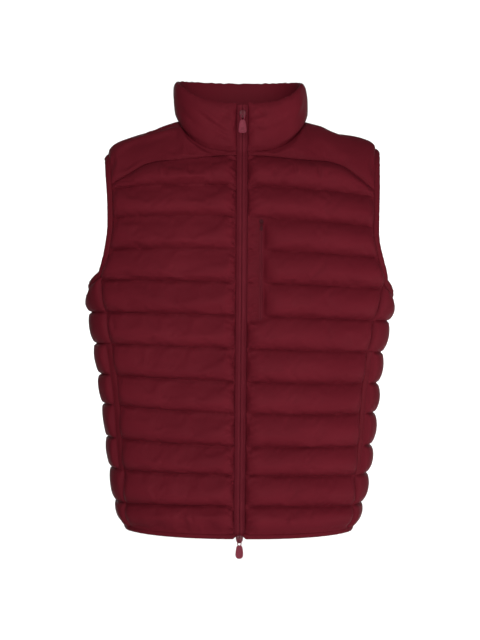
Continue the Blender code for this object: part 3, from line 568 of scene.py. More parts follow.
def blow_up(points, held):
    """Blender's cloth, cut a little too long for its seams and blown up between them.

    The held points stay, and no other moves further than MOST_MOVE from where it was.
    """
    numbers = np.arange(held.size).reshape(held.shape)
    skin = add_piece("skin", points.reshape(-1, 3), [quads(numbers)], SHELL)
    group = skin.vertex_groups.new(name="sewn")
    group.add(numbers[held].tolist(), 1.0, "REPLACE")
    cloth = skin.modifiers.new("cloth", "CLOTH")
    settings = cloth.settings
    settings.quality = 5
    settings.mass = 0.1
    settings.tension_stiffness = settings.compression_stiffness = 12
    settings.shear_stiffness = 6
    settings.bending_stiffness = 0.15
    settings.vertex_group_mass = "sewn"
    settings.use_pressure = True
    settings.uniform_pressure_force = PRESSURE
    settings.use_pressure_volume = True
    settings.target_volume = 0
    settings.shrink_min = -GATHER
    settings.effector_weights.gravity = 0
    cloth.collision_settings.use_collision = False
    cloth.point_cache.frame_start, cloth.point_cache.frame_end = 1, SETTLE_FRAMES
    scene = bpy.context.scene
    for number in range(1, SETTLE_FRAMES + 1):
        scene.frame_set(number)
    settled = skin.evaluated_get(bpy.context.evaluated_depsgraph_get()).data
    found = np.empty(held.size * 3, np.float32)
    settled.vertices.foreach_get("co", found)
    scene.frame_set(1)
    bpy.data.objects.remove(skin)
    move = found.reshape(points.shape) - points
    far = np.linalg.norm(move, axis=-1, keepdims=True)
    return points + move * np.minimum(1, MOST_MOVE / np.maximum(far, 1e-9))


def add_padded(name, seat, lean, thickness, free, held, seed, lining, fill, crease=(), edge=0.0):
    """A padded piece, from the inside `seat` and the directions `lean` in which it is thick.

    The outside is blown up between its seams. The lining bulges less, inwards. `free` is 0 on
    sewing and 1 where the filling is full. `edge` is the height of the gathers that run in
    from the first column. Returns the outside and its directions.
    """
    first = seat + lean * thickness[..., None]
    pattern = cloth_uv(first)
    uneven = ripple(seed, np.moveaxis(pattern, -1, 0), SLACK_WAVES)
    start = first + lean * (uneven * UNEVEN_FILL * free)[..., None]
    blown = blow_up(start, held)
    outside, out = finer(blown), finer(lean)
    loose = np.clip(finer(free), 0, 1)
    sewn = np.exp(-((loose / SEWN_REACH) ** 2)) * (loose > SEWN_EDGE)
    fine = np.moveaxis(cloth_uv(outside), -1, 0)
    small = ripple(seed + 1, fine, PUCKER_WAVES)
    pull = np.exp(-((fine[0] / GATHER_REACH) ** 2)) * np.clip(fine[0] / GATHER_START, 0, 1) * edge
    small = small * sewn * PUCKER + ripple(seed + 2, fine[::-1], GATHER_WAVES) * pull
    outside = outside + out * (small + creased(fine, crease) * loose)[..., None]
    inside = seat - lean * (lining * free)[..., None]
    made = add_wall(f"{name}_cloth", outside, inside, 1 - loose, SHELL)
    fit(made, name)
    return outside, out


def creased(pattern, creases):
    """Soft folds of a piece, each with its place and size in the flat pattern, in metres.

    A fold is depth * exp(-(across / width)^2) * (1 - (along / half its length)^2)^2. Places
    less than 0 are counted from the far edge.
    """
    total = np.zeros(pattern[0].shape)
    for *place, angle, length, width, depth in creases:
        turn = math.radians(angle)
        du, dv = (p - (at if at > 0 else at + p.max()) for p, at in zip(pattern, place))
        along = np.clip((du * math.cos(turn) + dv * math.sin(turn)) / (length / 2), -1, 1)
        across = (dv * math.cos(turn) - du * math.sin(turn)) / width
        total = total + depth * np.exp(-(across**2)) * (1 - along**2) ** 2
    return total


# Distances of the close columns from the zip, from a side seam and from the welt's seam
ZIP_SIDE = (0, 0.003, 0.006, 0.010, 0.014, 0.018, 0.0225, 0.0265, 0.031, 0.036, 0.0405)
SEAM_SIDE = (0.014, 0.0105, 0.0072, 0.0045, 0.002, 0)
WELT_SIDE = (0, 0.0032, 0.0064, WELT_FLAT, 0.0135, 0.0185, 0.0235)
WELT_SEAM_COLUMN = 3


def edge_at(rows):
    """Height and place of the panels' edge for each row."""
    z = row_heights(rows, np.ones(1), np.full(1, YOKE_SEAM_END))[0][:, 0]
    return z, PANEL_EDGE.read("across", z)


def front_grid():
    """Rows, baffle heights and inside points of the wearer's left front."""
    rows = panel_rows(YOKE_LINE)
    x = spread(ZIP_HALF_WIDTH, edge_at(rows)[1], ZIP_SIDE, FRONT_COLUMNS, SEAM_SIDE)
    across = (x[0] - x[0, 0]) / (x[0, -1] - x[0, 0])
    z, heights = row_heights(rows, across, YOKE_SEAM.read("front", x[-1]))
    return rows, heights, on_body(x, z, FRONT)


def border_of(shape):
    """The points of a grid that the seams round a piece hold."""
    held = np.zeros(shape, bool)
    held[0] = held[-1] = held[:, 0] = held[:, -1] = True
    return held


def held_at(rows, columns):
    """The points that sewing holds: the border and each seam row."""
    held = border_of((len(rows), columns))
    held[rows == np.floor(rows)] = True
    return held


def pad_panel(name, flip, rows, inside, normals, fill, held, seed, *gathers):
    """A quilted panel, mirrored where flip is -1. Returns its rows, the inside and its
    directions, and the outside and its directions."""
    inside, normals = inside * [flip, 1, 1], normals * [flip, 1, 1]
    thickness, free = SHELL_WALL + fill, fill / BAFFLE_FILL
    outer = (thickness, free, held, seed, LINING_FILL, PANEL_FILLING, *gathers)
    return rows, inside, normals, *add_padded(name, inside, normals, *outer)


# Soft pulls below the yoke seam and beside the side seam: place across and up (less than 0,
# down from the top), direction in degrees, length, half width and depth.
FRONT_FOLDS = (
    (0.121, -0.022, 84, 0.042, 0.0032, 0.0024),
    (0.113, -0.024, 97, 0.036, 0.0030, -0.0028),
    (0.083, -0.020, 90, 0.034, 0.0030, 0.0022),
    (0.077, -0.022, 84, 0.034, 0.0030, -0.0024),
    (0.046, -0.030, 70, 0.030, 0.0036, -0.0018),
    (0.205, 0.400, 108, 0.044, 0.0034, 0.0022),
    (0.197, 0.394, 76, 0.040, 0.0032, -0.0022),
    (0.196, 0.347, -52, 0.024, 0.0026, 0.0018),
    (0.186, 0.349, -50, 0.022, 0.0026, -0.0018),
    (0.176, 0.350, -47, 0.020, 0.0026, 0.0016),
    (0.150, 0.075, 40, 0.050, 0.0046, 0.0016),
    (0.141, 0.068, 48, 0.040, 0.0040, -0.0016),
    (0.120, 0.034, 60, 0.036, 0.0040, -0.0016),
    (0.083, 0.029, 60, 0.028, 0.0034, 0.0018),
    (0.076, 0.030, 66, 0.024, 0.0032, -0.0018),
)
ZIP_PUCKER = 0.0017


def make_front(name, flip, has_pocket, seed):
    """A front: baffles that round off at the zip and the side seam, and flat at the pocket."""
    rows, heights, inside = front_grid()
    normals = outward(inside, body_level, FRONT)
    from_zip, from_seam = edge_distances(inside)
    held = held_at(rows, inside.shape[1])
    if has_pocket:
        beside = within_rows(rows, POCKET_ROWS)
        held |= (beside > 0.5) & (from_zip < POCKET_FLAT + 1e-4)
        from_zip = from_zip - POCKET_FLAT * beside
    fill = baffle_fill(rows, heights) * rounding(from_zip, ZIP_ROUNDING) ** ZIP_STEEPNESS
    fill = fill * rounding(from_seam, SEAM_ROUNDING) ** SEAM_STEEPNESS
    return pad_panel(name, flip, rows, inside, normals, fill, held, seed, FRONT_FOLDS, ZIP_PUCKER)


def make_back(seed):
    """The back: baffles that round off at both side seams."""
    rows = panel_rows(YOKE_LINE)
    edge = edge_at(rows)[1]
    x = spread(-edge, edge, SEAM_SIDE[::-1], BACK_COLUMNS, SEAM_SIDE)
    z, heights = row_heights(rows, np.ones(x.shape[1]), YOKE_SEAM.read("back", np.abs(x[-1])))
    inside = on_body(x, z, BACK)
    normals = outward(inside, body_level, BACK)
    near, far = edge_distances(inside)
    ends = rounding(near, SEAM_ROUNDING) * rounding(far, SEAM_ROUNDING)
    fill = baffle_fill(rows, heights) * ends
    return pad_panel("back", 1, rows, inside, normals, fill, held_at(rows, x.shape[1]), seed)


def make_side_panel(name, flip, seed):
    """A side panel: x = half width (1 - |y / depth|^n)^(1/n), with its top edge curved up from
    the armpit, and flat beside the pocket welt's seam."""
    rows = panel_rows(SIDE_TOP_ROW)
    border, edge = edge_at(rows)
    front_y = -on_body(edge, border, FRONT)[:, 1]
    back_y = on_body(edge, border, BACK)[:, 1]
    y = spread(-front_y + SEAM_GAP, back_y - SEAM_GAP, WELT_SIDE, SIDE_COLUMNS, SEAM_SIDE)
    last = rows >= np.floor(SIDE_TOP_ROW) - 1 - 1e-9
    sideways = np.where(y < 0, y / front_y[:, None], y / back_y[:, None])
    corner, foot = border[-1], border[last][0]
    top_edge = ARMPIT + (corner - ARMPIT) * sideways**2
    z = np.repeat(border[:, None], y.shape[1], axis=1)
    share = ((border - foot) / (corner - foot))[:, None]
    z = np.where(last[:, None], foot + (top_edge - foot) * share, z)
    depth = np.where(y < 0, depths(z, FRONT), depths(z, BACK))
    x = half_widths(z) * (1 - np.abs(y / depth) ** SQUARENESS) ** (1 / SQUARENESS)
    inside = np.stack([x, y, z], axis=-1)
    normals = outward(inside, flank_level, FRONT)
    part = np.where(last, np.clip(share[:, 0], 0, 1), rows - np.floor(rows))[:, None]
    near, far = edge_distances(inside)
    beside = within_rows(rows, WELT_ROWS)
    held = held_at(np.where(last & (rows > rows[last][0]), 0.5, rows), y.shape[1])
    held |= (beside > 0.5) & (near < WELT_FLAT + 0.001)
    near = near - near[:, [WELT_SEAM_COLUMN]] * beside
    fill = SIDE_SHARE * BAFFLE_FILL * baffle_round(part, rows[:, None] < 1, SIDE_SAG, SIDE_FORM)
    fill = fill * rounding(near, END_ROUNDING) * rounding(far, END_ROUNDING)
    return pad_panel(name, flip, rows, inside, normals, fill, held, seed)


front_left = make_front("front_left", 1, True, 11)
front_right = make_front("front_right", -1, False, 23)
back = make_back(37)
side_left = make_side_panel("side_panel_left", 1, 41)
side_right = make_side_panel("side_panel_right", -1, 53)


# ================================================================ yokes and collar
# Smooth, thinly padded shoulder pieces of the same nylon, one behind and one on each side in
# front, and a padded stand collar sewn into the neck. The collar's top edge is folded over.

NECK_HALF_WIDTH = 0.102
NECK_DEPTH = {FRONT: 0.079, BACK: 0.070}
NECK_SQUARENESS = {FRONT: 3.0, BACK: 2.2}
SHOULDER_EDGE = 0.2245
NECK_CORNER_X = 0.1363  # place on the yoke seam below the neck point
STRAIGHT_TO = 0.05  # the front's columns run straight up as far as here
YOKE_WALL, YOKE_FILL, YOKE_ROUNDING = 0.0035, 0.0042, 0.020
YOKE_LINING, YOKE_FILLING = 0.001, 0.2
YOKE_ROWS, YOKE_CROWDING = 15, 0.4
YOKE_GAP = 1.3 * SEAM_GAP  # above the panels' top edge
COLLAR_WALL = 0.0035
COLLAR_TOP = Table(  # level of its top edge, by the place from front to back
    "place level",
    (-0.0790, 0.0202),
    (-0.0770, 0.0226),
    (-0.0685, 0.0322),
    (-0.0550, 0.0455),
    (-0.0350, 0.0585),
    (0.0000, 0.0665),
    (0.0300, 0.0728),
    (0.0520, 0.0757),
    (0.0700, 0.0768),
)
COLLAR_FLARE = 0.03
COLLAR_LEAN = 0.065  # of its sides and back, towards the wearer's right
COLLAR_LEVEL_FROM = 0.044  # behind its front, from where it leans in full
COLLAR_ROWS, COLLAR_TOP_ROWS = 19, (0.975, 0.99)
COLLAR_LINING, COLLAR_FILLING, COLLAR_FULL = 0.0022, 0.3, 0.0060
COLLAR_TURN = 0.14  # share of its height over which it turns from the body's slope to upright
COLLAR_FOLD, COLLAR_THIN = 0.0032, 0.75  # the folded top edge: its height and how thin it gets
COLLAR_UNEVEN, COLLAR_WAVES = 0.0006, (0.013, 0.019, 0.031)  # of its top edge
COLLAR_FILL = Table(
    "height fill",
    (0.00, 0.0),
    (0.14, 0.0035),
    (0.47, 0.0060),
    (0.77, 0.0052),
    (0.925, 0.0028),
    (1.00, 0.0),
)


def neck_line(angle, side):
    """The neckline: half width * sin^(2/n) across and depth * cos^(2/n) deep, on the arches."""
    x = NECK_HALF_WIDTH * np.sin(angle) ** (2 / NECK_SQUARENESS[side])
    y = NECK_DEPTH[side] * np.abs(np.cos(angle)) ** (2 / NECK_SQUARENESS[side])
    z = np.full_like(x, -0.05)
    power = ARCH_POWER[side]
    for _ in range(6):
        share = np.clip(1 - (y / breadth(x, z, side)) ** power, 0, 1) ** (1 / power)
        z = ARCH_FOOT[side] + (ridge(x, side) - ARCH_FOOT[side]) * share
    return x, z


def arch_angle(x, z, side):
    """How far round the arch a point is: 0 at its foot and a quarter turn on the shoulder."""
    return np.arcsin(np.clip(climb(x, z, side), 0, 1) ** (ARCH_POWER[side] / 2))


def yoke_grid(seam_x, neck_angles, side):
    """Inside points between the yoke seam and the neck and shoulder, for x from the centre out."""
    seam_z = YOKE_SEAM.read("front" if side == FRONT else "back", seam_x) + YOKE_GAP
    neck_x, neck_z = neck_line(neck_angles, side)
    corner = len(neck_angles) - 1
    out = (seam_x[corner + 1 :] - seam_x[corner]) / (seam_x[-1] - seam_x[corner])
    top_x = np.concatenate([neck_x, NECK_HALF_WIDTH + (SHOULDER_EDGE - NECK_HALF_WIDTH) * out])
    top_angle = np.full(len(seam_x), math.pi / 2)
    top_angle[:corner] = arch_angle(neck_x, neck_z, side)[:corner]
    v = crowded(np.linspace(0, 1, YOKE_ROWS), YOKE_CROWDING)[:, None]
    x = seam_x + (top_x - seam_x) * v
    seam_angle = arch_angle(seam_x, seam_z, side)
    angle = seam_angle + (top_angle - seam_angle) * v
    power = ARCH_POWER[side]
    z = ARCH_FOOT[side] + (ridge(x, side) - ARCH_FOOT[side]) * np.sin(angle) ** (2 / power)
    y = breadth(x, z, side) * np.clip(np.cos(angle), 0, 1) ** (2 / power)
    return np.stack([x, side * (y + SEAM_GAP / 2), z], axis=-1)


def pad_yoke(name, inside, normals, seed, crease):
    """A yoke: full in the middle and rounded off towards its four edges."""
    near, far = edge_distances(inside)
    low, high = (d.T for d in edge_distances(inside.transpose(1, 0, 2)))
    free = np.ones(inside.shape[:2])
    for distance in (near, far, low, high):
        free = free * rounding(distance, YOKE_ROUNDING)
    held, thickness = border_of(free.shape), YOKE_WALL + YOKE_FILL * free
    outer = (thickness, free, held, seed, YOKE_LINING, YOKE_FILLING, crease)
    return inside, normals, *add_padded(name, inside, normals, *outer)


def make_front_yoke(name, flip, seed, crease):
    """A front yoke, with straight columns beside the zip that spread out to the shoulder."""
    seam_x = front_grid()[2][-1, :, 0]
    corner = int(np.argmin(np.abs(seam_x - NECK_CORNER_X)))
    to_corner = seam_x[: corner + 1]
    power = NECK_SQUARENESS[FRONT] / 2
    straight = np.arcsin(np.clip(to_corner / NECK_HALF_WIDTH, 0, 1) ** power)
    start = np.arcsin((STRAIGHT_TO / NECK_HALF_WIDTH) ** power)
    share = (to_corner - STRAIGHT_TO) / (to_corner[-1] - STRAIGHT_TO)
    angles = np.where(to_corner < STRAIGHT_TO, straight, start + (np.pi / 2 - start) * share)
    inside = yoke_grid(seam_x, angles, FRONT)
    normals = outward(inside, body_level, FRONT) * [flip, 1, 1]
    return *pad_yoke(name, inside * [flip, 1, 1], normals, seed, crease), corner


def make_back_yoke(seed):
    """The back yoke: one half's grid and its mirror image, joined down the middle."""
    seam_x = back[1][-1, :, 0]
    half_x = seam_x[len(seam_x) // 2 :]
    corner = int(np.argmin(np.abs(half_x - NECK_CORNER_X)))
    angles = np.pi / 2 * half_x[: corner + 1] / half_x[corner]
    half = yoke_grid(half_x, angles, BACK)
    inside = np.concatenate([half[:, :0:-1] * [-1, 1, 1], half], axis=1)
    return *pad_yoke("yoke_back", inside, outward(inside, body_level, BACK), seed, ()), corner


def make_collar(seed):
    """The collar: straight lines from the neck's seam up to its top edge, leaning out by the
    flare and back by the lean, and as thick as its fill at each height."""
    corner = yoke_left[4]
    middle, reach_back = yoke_back[0].shape[1] // 2, yoke_back[4]
    behind = slice(middle + reach_back - 1, middle - reach_back, -1)
    edges = (yoke_left, slice(corner + 1)), (yoke_back, behind), (yoke_right, slice(corner, None, -1))
    line, normals = (np.concatenate([yoke[k][-1, part] for yoke, part in edges]) for k in (0, 1))
    in_front = line[:, 1] < 0
    depth = np.where(in_front, NECK_DEPTH[FRONT], NECK_DEPTH[BACK])
    power = np.where(in_front, NECK_SQUARENESS[FRONT], NECK_SQUARENESS[BACK]) - 1
    across, along = line[:, 0] / NECK_HALF_WIDTH, line[:, 1] / depth
    slope_x = np.sign(across) * np.abs(across) ** power / NECK_HALF_WIDTH
    slope_y = np.sign(along) * np.abs(along) ** power / depth
    level_out = unit(np.stack([slope_x, slope_y, 0 * depth], axis=-1))
    tall = (COLLAR_TOP.read("level", line[:, 1]) - line[:, 2])[:, None]
    run = unit(np.gradient(line, axis=0))
    reach = np.cross(normals, run)
    reach = reach * np.sign(np.sum(reach * [0, 0, 1.0], axis=-1, keepdims=True))
    foot = line + reach * SEAM_GAP
    height = np.union1d(np.linspace(0, 1, COLLAR_ROWS), COLLAR_TOP_ROWS)[:, None, None]
    askew = np.clip((line[:, 1] + NECK_DEPTH[FRONT]) / COLLAR_LEVEL_FROM, 0, 1)
    askew = eased(askew)[:, None] * [-COLLAR_LEAN, 0, 0]
    seat = foot + (askew + [0, 0, 1.0] + level_out * COLLAR_FLARE) * height * tall
    turn = np.clip(height / COLLAR_TURN, 0, 1)
    lean = unit(normals * (1 - turn) + level_out * turn)
    from_end, to_end = edge_distances(seat)
    wave = ripple(seed + 3, (from_end, 0 * from_end), COLLAR_WAVES) * height[..., 0] ** 3
    seat = seat + wave[..., None] * [0, 0, COLLAR_UNEVEN]
    ends = rounding(from_end, END_ROUNDING) * rounding(to_end, END_ROUNDING)
    fill = COLLAR_FILL.read("fill", height[..., 0]) * ends
    fold = rounding((1 - height[..., 0]) * tall[:, 0], COLLAR_FOLD)
    thin = COLLAR_WALL * (1 - fold) * COLLAR_THIN
    seat = seat + lean * (thin / 2)[..., None]
    thickness, free = COLLAR_WALL - thin + fill, np.clip(fill / COLLAR_FULL, 0, 1)
    held, filling = border_of(free.shape), (COLLAR_LINING, COLLAR_FILLING)
    outer = (thickness, free, held, seed, *filling, COLLAR_FOLDS)
    return seat, lean, *add_padded("collar", seat, lean, *outer)


# Folds of the collar: distance from the zip round the neck (less than 0 on the wearer's
# right), height, direction in degrees, length, half width and depth.
COLLAR_FOLDS = (
    (-0.041, 0.049, -27, 0.082, 0.0046, 0.0028),
    (-0.038, 0.039, -29, 0.078, 0.0040, -0.0034),
    (-0.029, 0.030, -30, 0.052, 0.0043, 0.0026),
    (-0.017, 0.056, -20, 0.034, 0.0036, -0.0024),
    (-0.018, 0.016, -24, 0.036, 0.0040, -0.0016),
    (-0.084, 0.034, -12, 0.080, 0.0070, -0.0016),
    (0.014, 0.066, 32, 0.026, 0.0034, 0.0024),
    (0.024, 0.063, -36, 0.026, 0.0032, -0.0034),
    (0.018, 0.051, 8, 0.032, 0.0034, 0.0026),
    (0.017, 0.041, -10, 0.032, 0.0034, -0.0024),
    (0.026, 0.031, 20, 0.044, 0.0050, 0.0018),
    (0.052, 0.044, 12, 0.070, 0.0055, -0.0018),
    (0.095, 0.048, 25, 0.070, 0.0080, 0.0016),
)
YOKE_FOLDS = (  # place across and up, direction, length, half width and depth
    (0.060, 0.030, 20, 0.070, 0.008, 0.0010),
    (0.120, 0.050, 65, 0.060, 0.007, -0.0010),
    (0.165, 0.060, 50, 0.060, 0.008, 0.0010),
)

yoke_left = make_front_yoke("yoke_left", 1, 61, YOKE_FOLDS)
yoke_right = make_front_yoke("yoke_right", -1, 67, YOKE_FOLDS[:2])
yoke_back = make_back_yoke(71)
collar = make_collar(79)


# ================================================================ bindings and hem
# Strips of the same nylon, folded over the raw edges of the armholes and the hem and
# topstitched through all layers. They pucker slightly where the edge curves.

BINDING_MIDDLE, BINDING_HALF = (0.0059, 0.0016), (0.0056, 0.0029)
HEM_MIDDLE, HEM_HALF = (0.0047, 0.0020), (0.0044, 0.0031)
BINDING_POWER, HEM_POWER, STRIP_POINTS = 2.7, 3, 14  # of the sections
BINDING_CUT, HEM_CUT = 0.014, 0.013
HEM_OVERLAP, HEM_END_ROUNDING = 0.0028, 0.0030
STRIP_STEP = 0.004
STRIP_PUCKER, STRIP_WAVES = 0.07, (0.009, 0.012, 0.0165)
STRIP_SEWN = 0.35


def rounded(wave, power):
    """sign(w) |w|^(2/n) for a sine or cosine w, which makes a circle a superellipse."""
    return np.sign(wave) * np.abs(wave) ** (2 / power)


def oval(middle, half, power):
    """A rounded section: middle + half * a superellipse's sine and cosine."""
    turn = np.linspace(0, 2 * np.pi, STRIP_POINTS, endpoint=False) + np.pi / STRIP_POINTS
    wave = np.stack([np.cos(turn), np.sin(turn)], axis=-1)
    return np.array(middle) + np.array(half) * rounded(wave, power)


def run_of(points, closed):
    """The direction of a path at each of its points: from the one before to the one after."""
    if closed:
        return np.roll(points, -1, axis=0) - np.roll(points, 1, axis=0)
    return np.gradient(points, axis=0)


def path_length(points, closed=False):
    """The length of a path, in metres."""
    points = np.concatenate([points, points[:1]]) if closed else points
    return float(np.linalg.norm(np.diff(points, axis=0), axis=-1).sum())


def wrapped(rings, around):
    """Vertex numbers of rings of points, each with its first number again at the end."""
    numbers = np.arange(rings * around).reshape(rings, around)
    return np.concatenate([numbers, numbers[:, :1]], axis=1)


def even_path(points, closed, step, *others):
    """A path's points, and other values along it, at even steps."""
    if closed:
        points, *others = (np.concatenate([values, values[:1]]) for values in (points, *others))
    steps = np.linalg.norm(np.diff(points, axis=0), axis=-1)
    place = np.concatenate([[0], np.cumsum(steps)])
    at = np.linspace(0, place[-1], max(2, round(place[-1] / step)), endpoint=not closed)
    return [np.stack([np.interp(at, place, v) for v in values.T], -1) for values in (points, *others)]


def soften(values, closed, times):
    """Each value becomes a quarter of each neighbour and half of itself, a few times over."""
    for _ in range(times):
        before, after = np.roll(values, 1, axis=0), np.roll(values, -1, axis=0)
        if not closed:
            before[0], after[-1] = 2 * values[0] - values[1], 2 * values[-1] - values[-2]
        values = 0.25 * before + 0.5 * values + 0.25 * after
    return values


def directions(stations, normals, closed, towards):
    """Unit vectors in the surface, square to the run of the stations, on the side of `towards`."""
    reach = unit(np.cross(normals, run_of(stations, closed)))
    return reach * np.sign(np.sum(reach * (towards - stations), axis=-1, keepdims=True))


def carry(name, stations, normals, reaches, profile, closed, seed, tip=0.0):
    """A solid strip: stations + reach * reaches + lift * normals for each pair of the profile.

    Small waves lift it along its length. An open strip's ends are rounded off over `tip`.
    """
    reach, lift = profile[:, 0, None], profile[:, 1, None]
    lift = lift[None] * np.ones((len(stations), 1, 1))
    if tip:
        from_end = path_length(stations) / (len(stations) - 1) * np.arange(len(stations))
        narrow = rounding(np.minimum(from_end, from_end[::-1]) + 0.3 * tip, 1.3 * tip)
        reach = reach[None] * narrow[:, None, None]
    length = np.arange(len(stations)) * np.linalg.norm(stations[1] - stations[0])
    pucker = ripple(seed, (length, 0 * length), STRIP_WAVES)
    lift = lift * (1 + STRIP_PUCKER * pucker[:, None, None])
    sections = stations[:, None] + reaches[:, None] * reach + normals[:, None] * lift
    turned = wrapped(*sections.shape[:2])
    if closed:
        faces = [quads(np.concatenate([turned, turned[:1]]))]
    else:
        faces = [quads(turned), turned[:1, -2::-1], turned[-1:, :-1]]
    points = sections.reshape(-1, 3)
    a, b, c = sections[1, 0], sections[1, 1], sections[2, 0]
    if np.cross(c - a, b - a) @ (a - sections[1].mean(axis=0)) > 0:
        faces = [part[:, ::-1] for part in faces]
    girth = np.linalg.norm(profile - np.roll(profile, 1, axis=0), axis=-1).cumsum()
    uv = np.stack(np.broadcast_arrays(length[:, None], girth[None]), axis=-1).reshape(-1, 2)
    return add_piece(name, hang(points), faces, BINDING, uv, np.full(len(points), STRIP_SEWN), 50)


BINDING = nylon("binding_nylon", (0.107, 0.0082, 0.0145), (0.118, 0.0094, 0.0162), 0.62)


def make_armhole_binding(hand, front, side, yoke, column):
    """A closed ring up the front's armhole edge, over the yokes, and down the back's edge."""
    name = f"armhole_binding_{hand}"
    above = front[0] > SIDE_TOP_ROW - 1e-9
    stations, normals = (
        np.concatenate(
            [
                front[k][above][:, -1],
                yoke[k - 1][1:-1, -1],
                yoke_back[k - 1][:0:-1, column],
                back[k][above][::-1, column],
                side[k][-1, -2:0:-1],
            ]
        )
        for k in (1, 2)
    )
    stations, normals = even_path(stations, True, STRIP_STEP, normals)
    stations, normals = soften(stations, True, 2), unit(soften(normals, True, 6))
    reach = directions(stations, normals, True, stations.mean(axis=0))
    profile = oval(BINDING_MIDDLE, BINDING_HALF, BINDING_POWER)
    made = carry(f"{name}_cloth", stations, normals, reach, profile, True, 83)
    fit(made, name)
    flat = BINDING_CUT, path_length(stations, True)
    return stations, normals, reach


def make_hem():
    """A strip round the hem from zip to zip, its ends lapped over the feet of the zip's tapes."""
    stations, normals = (
        np.concatenate(
            [
                front_left[k][0],
                side_left[k][0, 1:-1],
                back[k][0, ::-1],
                side_right[k][0, -2:0:-1],
                front_right[k][0, ::-1],
            ]
        )
        for k in (1, 2)
    )
    for end, inner in ((0, 1), (-1, -2)):
        stations[end] += HEM_OVERLAP * unit(stations[end] - stations[inner])
    stations, normals = even_path(stations, False, STRIP_STEP, normals)
    normals = unit(soften(normals, False, 3))
    reach = directions(stations, normals, False, stations - [0, 0, 1.0])
    strip = (stations, normals, reach, oval(HEM_MIDDLE, HEM_HALF, HEM_POWER), False)
    made = carry("hem_binding_cloth", *strip, 89, HEM_END_ROUNDING)
    fit(made, "hem_binding")
    path_length(stations)
    return stations, normals, reach


binding_left = make_armhole_binding("left", front_left, side_left, yoke_left, -1)
binding_right = make_armhole_binding("right", front_right, side_right, yoke_right, 0)
hem = make_hem()


# ================================================================ front zip
# A two-way zip with its nylon coil on the inside of woven tapes. Each tape is sewn under the
# edge of a front, and folds inwards round the coil, so that the two meet along the middle.

TAPE_SECTION = np.array(  # across, and the heights of its inside and outside over the body
    [
        (0.00012, 0.0014, 0.0020),
        (0.0007, 0.0019, 0.0026),
        (0.0018, 0.0022, 0.0030),
        (0.0032, 0.0021, 0.0031),
        (0.0046, 0.0014, 0.0026),
        (0.0058, 0.0007, 0.0018),
        (0.0070, 0.0002, 0.0012),
        (0.0084, -0.0006, 0.0004),
        (0.0100, -0.0022, -0.0013),
        (0.0128, -0.0032, -0.0024),
    ]
)
ZIP_FOOT_MARGIN = 0.0032
HEM_DEPTH = 0.0090
ZIP_TOP_MARGIN = 0.003
TAPE_STEP, TAPE_CUT = 0.006, 0.014
COIL_STEP, COIL_PITCH = 0.003, 0.0016
TURN_HALF = (0.00125, 0.00105, 0.00074)  # of one turn of the coil: across, out and along
COIL_OFFSET, COIL_LIFT = 0.00095, 0.0004


def woven(name, low, high, rough, rib):
    """A dense woven tape: fine ribs along it and a matt thread."""
    material, shader, place = finish(name, Specular_IOR_Level=0.08)
    feed(shader, "Base Color", noise(place, 40.0).clamped(0.3, 0.7).blend(low, high))
    shader.inputs["Roughness"].default_value = rough
    cloth = place.node("ShaderNodeUVMap", {"uv_map": "cloth"})
    settings = {"wave_type": "BANDS", "bands_direction": "DIAGONAL"}
    ribs = cloth.node("ShaderNodeTexWave", settings, i0=cloth, Scale=rib, Distortion=0.4)
    bump(shader, ribs, 0.5, TAPE_BUMP)
    return material


def plastic(name, colour, rough, level, grain):
    """Coloured plastic or enamelled metal, with a fine grain and slight wear in its gloss."""
    material, shader, place = finish(name, Specular_IOR_Level=level)
    patch = noise(place, 300.0, 3.0).clamped(0.35, 0.65)
    feed(shader, "Base Color", patch.blend(tuple(0.93 * c for c in colour), colour))
    feed(shader, "Roughness", noise(place, 700.0) * 0.16 + (rough - 0.08))
    bump(shader, noise(place, 1600.0), 0.4, grain)
    return material


TAPE = woven("zip_tape", (0.112, 0.0090, 0.0165), (0.124, 0.0102, 0.0185), 0.7, 260.0)
COIL = plastic("nylon_coil", (0.105, 0.0125, 0.0180), 0.38, 0.4, 0.00005)


def zip_grid(columns, step):
    """Rows of points up the centre front, on the body and then on the collar, with normals."""
    neck = neck_line(np.zeros(1), FRONT)[1][0]
    foot = QUILT_SEAMS.read("height", 0) - HEM_DEPTH + ZIP_FOOT_MARGIN
    top = COLLAR_TOP.read("level", -NECK_DEPTH[FRONT]) - ZIP_TOP_MARGIN
    body_z = np.linspace(foot, neck, round((neck - foot) / step))
    collar_z = np.linspace(neck, top, round((top - neck) / step))[1:]
    x = np.array(columns)
    body = on_body(x, body_z[:, None], FRONT)
    normals = outward(body, body_level, FRONT)
    rise = np.stack(np.broadcast_arrays(x, 0.0, collar_z[:, None]), axis=-1).astype(float)
    rise[..., 1] = body[-1, :, 1] - COLLAR_FLARE * (collar_z - neck)[:, None]
    level = np.broadcast_to([0.0, -1.0, 0.0], rise.shape)
    return np.concatenate([body, rise]), unit(soften(np.concatenate([normals, level]), False, 4))


def make_tape(name, flip):
    """A tape: its section's two heights over the body and the collar, all the way up."""
    surface, normals = (grid * [flip, 1, 1] for grid in zip_grid(TAPE_SECTION[:, 0], TAPE_STEP))
    inside, outside = (surface + normals * TAPE_SECTION[:, k, None] for k in (1, 2))
    outside = finer(outside)
    made = add_wall(f"{name}_weave", outside, inside, np.zeros(outside.shape[:2]), TAPE)
    fit(made, name)
    length, below = path_length(inside[:, 0]), name.replace("zip_tape", "front")


def repeat(template, faces, places, frames):
    """Copies of a small shape: place + x * across + y * out + z * along for each place."""
    points = places[:, None] + np.einsum("tk,nkc->ntc", template, frames)
    firsts = np.arange(len(places))[:, None, None] * len(template)
    faces = [(part[None] + firsts).reshape(-1, part.shape[1]) for part in faces]
    return points.reshape(-1, 3), faces


